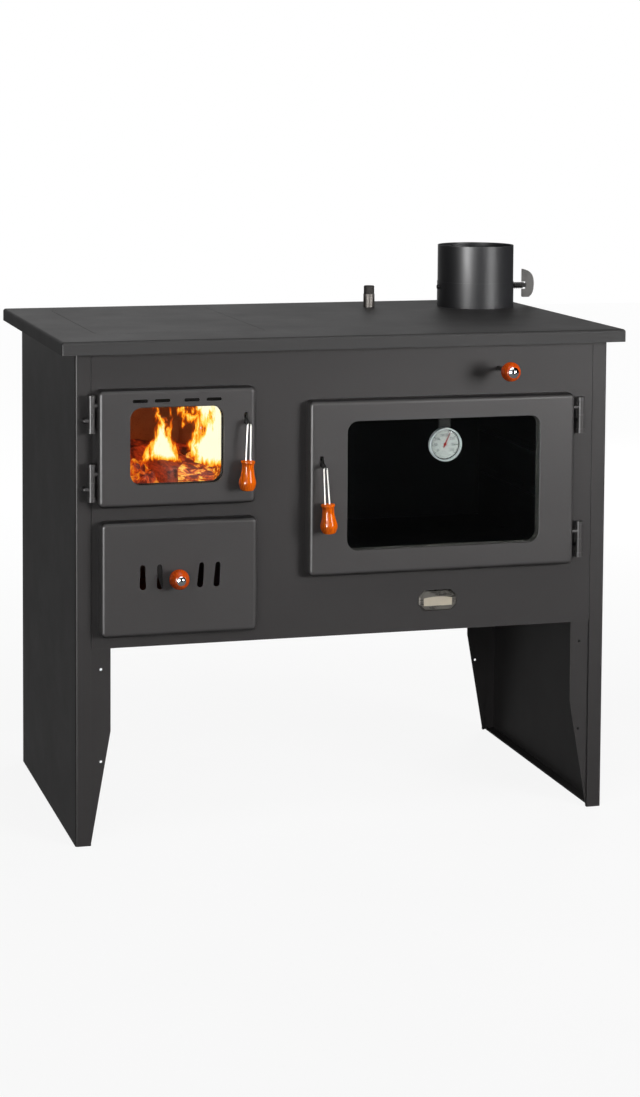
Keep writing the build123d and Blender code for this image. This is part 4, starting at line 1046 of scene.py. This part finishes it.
# The grip from its bulb to its bead, as (radius, height) in metres
GRIP_PROFILE = (
    (0.0040, 0.0000),
    (0.0092, 0.0000),
    (0.0103, 0.0004),
    (0.0112, 0.0016),
    (0.0127, 0.0045),
    (0.0141, 0.0085),
    (0.0146, 0.0122),
    (0.0143, 0.0158),
    (0.0132, 0.0196),
    (0.0118, 0.0250),
    (0.0107, 0.0305),
    (0.0101, 0.0360),
    (0.0100, 0.0405),
    (0.0103, 0.0440),
    (0.0108, 0.0455),
    (0.0116, 0.0461),
    (0.0120, 0.0472),
    (0.0120, 0.0484),
    (0.0115, 0.0495),
    (0.0104, 0.0500),
    (0.0040, 0.0500),
)
GRIP_LENGTH = GRIP_PROFILE[-1][1]
# Degrees that each grip hangs out of plumb
GRIP_LEAN = {"fire": -1.4, "oven": 3.4}


class COOKSTOVE_OT_turn_grips(bpy.types.Operator):
    """Turn the two wooden handle grips with their end beads"""

    bl_idname = "cookstove.turn_grips"
    bl_label = "Handle grips"

    def execute(self, context):
        for name, lean in GRIP_LEAN.items():
            node, body = f"{name}_handle_grip", f"{name}_handle"
            centre = middle(node, depth=middle(f"{name}_handle_wire").y)
            grip = turn_on_lathe(GRIP_PROFILE, 56)
            set_down(grip, shifted(centre) @ turned(-lean, "Y") @ shifted((0, 0, -GRIP_LENGTH / 2)))
            settle(grip, f"{name}_turned_grip", body, "varnished_wood", (node,))
        return {"FINISHED"}


# The seals in metres: their width, the reach of their corners, and how far a strand moves in and out
SEAL_WIDTH, SEAL_CORNER, STRAND_WAVE = 0.006, 0.012, 0.00062
STRANDS, STEPS_PER_TWIST = 4, 12
# Divides where two points of the route lie in one place
NO_LENGTH = 1e-9


class COOKSTOVE_OT_wind_seals(bpy.types.Operator):
    """Wind the twisted rope seals into the backs of both doors"""

    bl_idname = "cookstove.wind_seals"
    bl_label = "Door seals"

    def execute(self, context):
        for name in ("fire", "oven"):
            node = f"{name}_door_rope"
            seal = self.wind(*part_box(node))
            settle(seal, f"{name}_rope_seal", f"{name}_door", "rope", (node,))
        return {"FINISHED"}

    def route(self, low, high):
        """Points along the seal's middle line, read from a closed spline."""
        inset = SEAL_WIDTH / 2
        left, right = low.x + inset, high.x - inset
        bottom, top = low.z + inset, high.z - inset
        corners = ((left, bottom), (right, bottom), (right, top), (left, top))
        ways = ((1, 0), (0, 1), (-1, 0), (0, -1))
        points = []
        for index, (x, z) in enumerate(corners):
            before, after = ways[index - 1], ways[index]
            points.append((x - before[0] * SEAL_CORNER, z - before[1] * SEAL_CORNER))
            points.append((x, z))
            points.append((x + after[0] * SEAL_CORNER, z + after[1] * SEAL_CORNER))
        curve = bpy.data.curves.new("seal_route", "CURVE")
        curve.dimensions = "3D"
        curve.resolution_u = 24
        spline = curve.splines.new("NURBS")
        spline.points.add(len(points) - 1)
        for point, (x, z) in zip(spline.points, points):
            point.co = (x, 0, z, 1)
        spline.order_u = 3
        spline.use_cyclic_u = True
        holder = bpy.data.objects.new("seal_route", curve)
        bpy.context.scene.collection.objects.link(holder)
        mesh = bpy.data.meshes.new_from_object(holder)
        line = [vertex.co.copy() for vertex in mesh.vertices]
        bpy.data.objects.remove(holder)
        bpy.data.curves.remove(curve)
        bpy.data.meshes.remove(mesh)
        return line

    def wind(self, low, high):
        """Strands laid round the route, flattened as the liner holds them."""
        line = self.route(low, high)
        ring = [*line, line[0]]
        lengths = [0.0]
        for first, second in zip(ring, ring[1:]):
            lengths.append(lengths[-1] + (second - first).length)
        depth = (low.y + high.y) / 2
        strands = []
        for strand in range(STRANDS):
            strands.append(self.strand(self.twisted(ring, lengths, strand / STRANDS, depth)))
        joined = join_pieces(strands)
        editing(joined)
        close(joined, 60)
        return joined

    def twisted(self, ring, lengths, phase, depth):
        """Points along one strand, which starts at its own phase of the twist."""
        swing = SEAL_WIDTH / 2 - sizes().strand_radius
        twists = round(lengths[-1] / sizes().strand_pitch)
        steps = twists * STEPS_PER_TWIST
        points = []
        segment = 0
        for step in range(steps):
            along = lengths[-1] * step / steps
            while lengths[segment + 1] < along:
                segment += 1
            start, end = ring[segment], ring[segment + 1]
            share = (along - lengths[segment]) / max(lengths[segment + 1] - lengths[segment], NO_LENGTH)
            place = start.lerp(end, share)
            way = (end - start).normalized()
            angle = 2 * math.pi * (twists * step / steps + phase)
            offset = Vector((-way.z, 0, way.x)) * (math.cos(angle) * swing)
            wave = math.sin(angle) * STRAND_WAVE
            points.append((place.x + offset.x, depth + wave, place.z + offset.z, 1))
        return points

    def strand(self, points):
        """One closed strand, as a mesh tube along its points."""
        curve = bpy.data.curves.new("seal_strand", "CURVE")
        curve.dimensions = "3D"
        curve.bevel_depth = sizes().strand_radius
        curve.bevel_resolution = 1
        curve.use_fill_caps = False
        spline = curve.splines.new("POLY")
        spline.points.add(len(points) - 1)
        for point, place in zip(spline.points, points):
            point.co = place
        spline.use_cyclic_u = True
        holder = bpy.data.objects.new("seal_strand", curve)
        bpy.context.scene.collection.objects.link(holder)
        only(holder)
        bpy.ops.object.convert(target="MESH")
        return bpy.context.active_object


# Each knob's node and body, and in metres the radius of its ball, its flat front and its neck
KNOBS = (
    ("register_knob", "air_register", 0.017, 0.0078, 0.008),
    ("draft_knob", "draft_slide", 0.0168, 0.00935, 0.006),
)
KNOB_STEPS = 14
# The neck: the least that gets a collar, the collar's depth, and the share that it draws in to
LEAST_NECK, COLLAR_DEPTH, COLLAR_SHARE = 0.001, 0.0012, 0.94


class COOKSTOVE_OT_turn_knobs(bpy.types.Operator):
    """Turn the air register's and the draft rod's wooden knobs"""

    bl_idname = "cookstove.turn_knobs"
    bl_label = "Knobs"

    def execute(self, context):
        for node, body, radius, flat, neck in KNOBS:
            low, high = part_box(node)
            knob = turn_on_lathe(self.profile(high.y - low.y, radius, flat, neck), 56)
            set_down(knob, shifted(middle(node, depth=high.y)) @ FRONTWARD)
            settle(knob, f"{node}_turned", body, "stained_wood", (node,))
        return {"FINISHED"}

    def profile(self, depth, radius, flat, neck):
        """A ball cut flat in front, on a neck where the knob is deeper than its ball."""
        front = math.sqrt(radius**2 - flat**2)
        back = math.sqrt(radius**2 - neck**2)
        rise = 0.0
        points = []
        if depth > front + back + LEAST_NECK:
            rise = depth - (front + back)
            points += [(neck, 0.0), (neck * COLLAR_SHARE, COLLAR_DEPTH)]
        first = math.acos(-back / radius)
        last = math.acos(front / radius)
        for step in range(KNOB_STEPS + 1):
            angle = first + (last - first) * step / KNOB_STEPS
            points.append((radius * math.sin(angle), rise + back + radius * math.cos(angle)))
        points.append((flat * 0.5, rise + back + front))
        return points


# The rear panel's screws: metres from its edge, how many stand across and up it, and the degrees
# that each is turned on from the last
SCREW_INSET, SCREWS_ACROSS, SCREWS_UP, SCREW_TURN = 0.011, 5, 4, 37
# A screw's head, and the recess in its crown, in shares of its radius
SCREW_PROFILE = ((1, 0), (1, 0.16), (0.9, 0.38), (0.68, 0.55), (0.36, 0.64))
RECESS_MARGIN, RECESS_DEPTH = 0.12, 0.22


class COOKSTOVE_OT_drive_screws(bpy.types.Operator):
    """Drive the domed screws that hold the rear panel"""

    bl_idname = "cookstove.drive_screws"
    bl_label = "Rear panel screws"

    def execute(self, context):
        low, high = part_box("rear_panel")
        xs = self.spaced(low.x, high.x, SCREWS_ACROSS)
        zs = self.spaced(low.z, high.z, SCREWS_UP)
        spots = [(x, z) for x in xs for z in (zs[0], zs[-1])]
        spots += [(x, z) for x in (xs[0], xs[-1]) for z in zs[1:-1]]
        first = self.head(sizes().screw_radius)
        heads = [first, *(copied(first) for _ in spots[1:])]
        for index, (head, (x, z)) in enumerate(zip(heads, spots)):
            set_down(head, shifted((x, high.y, z)) @ turned(-90, "X") @ turned(SCREW_TURN * index, "Z"))
        settle(join_pieces(heads), "rear_panel_screws", "stove_body", "zinc_steel")
        return {"FINISHED"}

    def spaced(self, low, high, count):
        """Even places from the screw at one edge to the screw at the other."""
        span = high - low - 2 * SCREW_INSET
        return [low + SCREW_INSET + span * step / (count - 1) for step in range(count)]

    def head(self, radius):
        """A domed head, sunk in its crown."""
        head = turn_on_lathe([(radius * across, radius * up) for across, up in SCREW_PROFILE], 20)
        editing(head)
        pick_faces(head, lambda face: face.normal.z > 0.9 and face.calc_center_median().z > radius * 0.5)
        bpy.ops.mesh.inset(thickness=radius * RECESS_MARGIN, depth=-radius * RECESS_DEPTH)
        bpy.ops.object.mode_set(mode="OBJECT")
        return head


# Each log's name, size and middle in metres, its pitch, roll and yaw in degrees, and its finish
LOGS = (
    ("log_split_front", (0.074, 0.17, 0.062), (-0.296, -0.125, 0.606), (4, 2, 12), "burning_log"),
    ("log_right", (0.064, 0.26, 0.070), (-0.222, -0.110, 0.609), (7, 6, -22), "flaming_log"),
    ("log_left", (0.052, 0.20, 0.044), (-0.372, -0.060, 0.586), (2, -12, 5), "burning_log"),
    ("log_across", (0.17, 0.050, 0.044), (-0.300, 0.010, 0.618), (8, 4, -12), "burning_log"),
)
# The coals in metres: the bed's margin inside the grate and rise over it, and the heap's size and middle
BED_MARGIN, BED_RISE = 0.01, 0.010
HEAP_SIZE, HEAP_MIDDLE = (0.040, 0.085, 0.040), (-0.352, -0.135, 0.590)
# Each sheet of flames: its name and finish, its depth and how far its right end is drawn forward, in metres
FLAME_SHEETS = (
    ("flames_near", "near_flame", -0.150, 0.072),
    ("flames_far", "far_flame", -0.070, 0.0),
)
SHEET_HEIGHT, SHEET_MARGIN, SHEET_RISE = 0.17, 0.006, 0.006
# The fire's own light
GLOW_PLACE, GLOW_RADIUS = (-0.285, -0.075, 0.668), 0.04
GLOW_POWER, GLOW_COLOUR = 0.34, (1.0, 0.24, 0.05)


class COOKSTOVE_OT_light_fire(bpy.types.Operator):
    """Lay the logs and light the fire behind the window; they are contents, not part of the stove"""

    bl_idname = "cookstove.light_fire"
    bl_label = "Fire in the firebox"

    def execute(self, context):
        contents = [self.split_log(*log) for log in LOGS]
        contents += [self.embers(), self.heap()]
        contents += [self.sheet(*layer) for layer in FLAME_SHEETS]
        self.glow()
        return {"FINISHED"}

    def split_log(self, name, size, centre, turns, wood):
        """A split log: a block whose corners are rounded unevenly, with rough ends."""
        deselect()
        bpy.ops.mesh.primitive_cube_add(size=1)
        log = bpy.context.active_object
        log.name = name
        log.scale = size
        apply_place(log)
        modify(log, "BEVEL", width=0.008, segments=3)
        editing(log)
        bpy.ops.mesh.select_all(action="SELECT")
        bpy.ops.mesh.subdivide(number_cuts=7)
        bpy.ops.object.mode_set(mode="OBJECT")
        roughen(log, "CLOUDS", lump=0.03, strength=0.009, level=0.5, space="LOCAL")
        pitch, roll, yaw = turns
        set_down(log, shifted(centre) @ turned(yaw, "Z") @ turned(pitch, "X") @ turned(roll, "Y"))
        smooth(log, 50)
        coat(log, wood)
        return log

    def embers(self):
        """A glowing bed of coals over the grate."""
        low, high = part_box("fire_grate")
        deselect()
        bpy.ops.mesh.primitive_grid_add(x_subdivisions=60, y_subdivisions=110, size=1)
        bed = bpy.context.active_object
        bed.name = "ember_bed"
        bed.scale = (high.x - low.x - 2 * BED_MARGIN, high.y - low.y - 2 * BED_MARGIN, 1)
        bed.location = ((low.x + high.x) / 2, (low.y + high.y) / 2, high.z + BED_RISE)
        return self.coals(bed, lump=0.022, strength=-0.018)

    def heap(self):
        """Broken coals heaped at the left of the logs."""
        deselect()
        bpy.ops.mesh.primitive_uv_sphere_add(segments=64, ring_count=40, radius=1)
        heap = bpy.context.active_object
        heap.name = "coal_heap"
        heap.scale = HEAP_SIZE
        heap.location = HEAP_MIDDLE
        return self.coals(heap, lump=0.016, strength=-0.022)

    def coals(self, piece, lump, strength):
        """Break a plain surface up into coals."""
        apply_place(piece)
        roughen(piece, "VORONOI", lump, strength, level=0.4, space="GLOBAL")
        smooth(piece, 40)
        coat(piece, "glowing_coals")
        return piece

    def sheet(self, name, finish_name, depth, reach):
        """An upright sheet for one layer of fire, its right end drawn forward by reach."""
        low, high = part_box("fire_grate")
        wide = high.x - low.x - 2 * SHEET_MARGIN
        deselect()
        bpy.ops.mesh.primitive_grid_add(x_subdivisions=24, y_subdivisions=8, size=1)
        layer = bpy.context.active_object
        layer.name = name
        mesh = editing(layer)
        for vertex in mesh.verts:
            across, up = vertex.co.x, vertex.co.y + 0.5
            x = (low.x + high.x) / 2 + across * wide
            y = depth - reach * (across + 0.5) ** 2
            vertex.co = (x, y, high.z + SHEET_RISE + up * SHEET_HEIGHT)
        bmesh.update_edit_mesh(layer.data)
        bpy.ops.object.mode_set(mode="OBJECT")
        bpy.ops.object.shade_smooth()
        coat(layer, finish_name)
        layer.visible_shadow = False
        return layer

    def glow(self):
        """The fire's own red light on the bricks."""
        deselect()
        bpy.ops.object.light_add(type="POINT", location=GLOW_PLACE)
        lamp = bpy.context.active_object
        lamp.name = "fire_glow"
        lamp.data.energy = GLOW_POWER
        lamp.data.color = GLOW_COLOUR
        lamp.data.shadow_soft_size = GLOW_RADIUS
        lamp.visible_camera = False
        lamp.visible_glossy = False
        lamp.visible_transmission = False


# Each softbox: its name, its place, what it aims at and its size in metres, the value that holds its
# power, the spread of its light in degrees, and the kind of ray that doesn't see it
SOFTBOXES = (
    ("key_softbox", (2.35, -3.6, 1.4), (-0.08, -0.2, 1.05), (1.5, 1.5), "key_power", 60, None),
    ("fill_softbox", (-1.7, -3.0, 1.25), (0.0, -0.2, 0.8), (1.8, 0.8), "fill_power", 180, None),
    ("highlight_strip", (-2.35, -2.55, 0.62), (-0.1, -0.2, 0.62), (1.0, 1.2), "strip_power", 180, "diffuse"),
    ("top_softbox", (-0.1, -1.0, 2.5), (0, -0.1, 0.8), (1.6, 0.9), "top_power", 180, None),
    ("rear_softbox", (2.3, 3.2, 2.0), (0.2, 0.2, 0.5), (1.4, 1.4), "rear_power", 180, "glossy"),
)
FLOOR_SIZE, FLOOR_MIDDLE = (16, 11, 1), (0, 3.5, 0)
# The camera, solved from the photograph: metres, its yaw, pitch and roll in degrees, and shares of the frame
CAMERA_PLACE = (-1.2209, -4.2175, 1.2840)
CAMERA_TURNS = (15.315, 4.259, 0.282)
CAMERA_SHIFT = (0.04, -0.26)


class COOKSTOVE_OT_set_studio(bpy.types.Operator):
    """Lay the pale floor, hang the lamps and set the camera"""

    bl_idname = "cookstove.set_studio"
    bl_label = "Studio"

    def execute(self, context):
        self.lay_floor()
        self.light_world()
        for softbox in SOFTBOXES:
            self.hang(*softbox)
        self.set_camera()
        context.scene.view_settings.view_transform = "Standard"
        return {"FINISHED"}

    def lay_floor(self):
        """A floor that glows white for the camera and keeps the stove's shadow."""
        deselect()
        bpy.ops.mesh.primitive_plane_add(size=1)
        floor = bpy.context.active_object
        floor.name = "studio_floor"
        floor.scale = FLOOR_SIZE
        floor.location = FLOOR_MIDDLE
        apply_place(floor)
        made, tree, shader = new_finish("studio_floor_paint")
        place = object_place(tree)
        path = add_node(tree, "ShaderNodeLightPath")
        tint = spread(tree, noise(tree, place, 2, detail=3), (0.3, 0.7), (0, 0.06))
        seen = larger(tree, path["Is Camera Ray"], path["Is Transmission Ray"])
        seen = times(tree, seen, spread(tree, split(tree, place)["Y"], (0.4, 3.0), (0.9, 0.97)))
        connect(tree, shader.inputs, {
            "Base Color": mixed(tree, tint, colours().floor, shade(150, 150, 150)),
            "Roughness": 0.9,
            "Specular IOR Level": 0.1,
            "Emission Color": (1, 1, 1),
            "Emission Strength": larger(tree, seen, times(tree, path["Is Glossy Ray"], 0.14)),
        })
        floor.data.materials.append(made)

    def light_world(self):
        """White for the camera, faint even light, and bright places behind and left for gloss and glass."""
        world = bpy.data.worlds.new("studio_world")
        bpy.context.scene.world = world
        world.use_nodes = True
        tree = world.node_tree
        tree.nodes.clear()
        path = add_node(tree, "ShaderNodeLightPath")
        way = split(tree, add_node(tree, "ShaderNodeTexCoord")["Generated"])
        rising = spread(tree, way["X"], (-0.2, 0.12), (0.3, 1.05))
        falling = spread(tree, way["X"], (0.15, 0.45), (1.05, 0.5))
        back = times(tree, spread(tree, way["Y"], (0.72, 0.92)), smaller(tree, rising, falling))
        left = spread(tree, way["X"], (-0.3, -0.02), (0.45, 0.02))
        left = times(tree, left, spread(tree, way["Y"], (-0.5, -0.2), (1, 0.06)))
        mirrored = larger(tree, path["Is Glossy Ray"], path["Is Transmission Ray"])
        room = times(tree, mirrored, larger(tree, back, left))
        even = times(tree, minus(tree, 1, mirrored), studio().ambient)
        level = larger(tree, plus(tree, room, even), path["Is Camera Ray"])
        shine = add_node(tree, "ShaderNodeBackground", {"Color": (1, 1, 1), "Strength": level})[0]
        add_node(tree, "ShaderNodeOutputWorld", {"Surface": shine})

    def hang(self, name, place, aim, size, power_name, spread_angle, unseen_by):
        """Hang one softbox, aimed at a point."""
        deselect()
        bpy.ops.object.light_add(type="AREA", location=place)
        lamp = bpy.context.active_object
        lamp.name = name
        lamp.data.shape = "RECTANGLE"
        lamp.data.size, lamp.data.size_y = size
        lamp.data.energy = getattr(studio(), power_name)
        lamp.data.spread = math.radians(spread_angle)
        lamp.rotation_euler = (Vector(aim) - Vector(place)).to_track_quat("-Z", "Y").to_euler()
        lamp.visible_camera = False
        if unseen_by:
            setattr(lamp, f"visible_{unseen_by}", False)

    def set_camera(self):
        """The photograph's viewpoint."""
        deselect()
        bpy.ops.object.camera_add()
        camera = bpy.context.active_object
        camera.name = "view_of_the_photograph"
        yaw, pitch, roll = (math.radians(angle) for angle in CAMERA_TURNS)
        ahead = Vector((math.sin(yaw) * math.cos(pitch), math.cos(yaw) * math.cos(pitch), -math.sin(pitch)))
        right = Vector((math.cos(yaw), -math.sin(yaw), 0))
        up = right.cross(ahead)
        side = right * math.cos(roll) + up * math.sin(roll)
        top = up * math.cos(roll) - right * math.sin(roll)
        camera.matrix_world = shifted(CAMERA_PLACE) @ Matrix((side, top, -ahead)).transposed().to_4x4()
        camera.data.sensor_width = 36
        camera.data.lens = studio().lens
        camera.data.shift_x, camera.data.shift_y = CAMERA_SHIFT
        camera.data.clip_end = 60
        bpy.context.scene.camera = camera


# ---------------------------------------------------------------- add-on
PIECES = (
    COOKSTOVE_OT_finish_sheet_metal,
    COOKSTOVE_OT_print_dial,
    COOKSTOVE_OT_turn_grips,
    COOKSTOVE_OT_turn_knobs,
    COOKSTOVE_OT_wind_seals,
    COOKSTOVE_OT_drive_screws,
    COOKSTOVE_OT_light_fire,
    COOKSTOVE_OT_set_studio,
)


class COOKSTOVE_PT_sidebar(bpy.types.Panel):
    """Sizes, colours and pieces of the cookstove"""

    bl_label = "Cookstove"
    bl_idname = "COOKSTOVE_PT_sidebar"
    bl_space_type = "VIEW_3D"
    bl_region_type = "UI"
    bl_category = "Cookstove"

    def draw(self, context):
        scene = context.scene
        for values in (scene.cookstove_sizes, scene.cookstove_colours, scene.cookstove_studio):
            box = self.layout.box()
            for name in values.__annotations__:
                box.prop(values, name)
        for piece in PIECES:
            self.layout.operator(piece.bl_idname)


CLASSES = (CookstoveSizes, CookstoveColours, CookstoveStudio, *PIECES, COOKSTOVE_PT_sidebar)


def register():
    for made in CLASSES:
        bpy.utils.register_class(made)
    bpy.types.Scene.cookstove_sizes = bpy.props.PointerProperty(type=CookstoveSizes)
    bpy.types.Scene.cookstove_colours = bpy.props.PointerProperty(type=CookstoveColours)
    bpy.types.Scene.cookstove_studio = bpy.props.PointerProperty(type=CookstoveStudio)


def unregister():
    del bpy.types.Scene.cookstove_sizes
    del bpy.types.Scene.cookstove_colours
    del bpy.types.Scene.cookstove_studio
    for made in reversed(CLASSES):
        bpy.utils.unregister_class(made)


def main():
    register()
    for piece in PIECES:
        family, name = piece.bl_idname.split(".")
        getattr(getattr(bpy.ops, family), name)()
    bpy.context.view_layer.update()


if __name__ == "__main__":
    main()
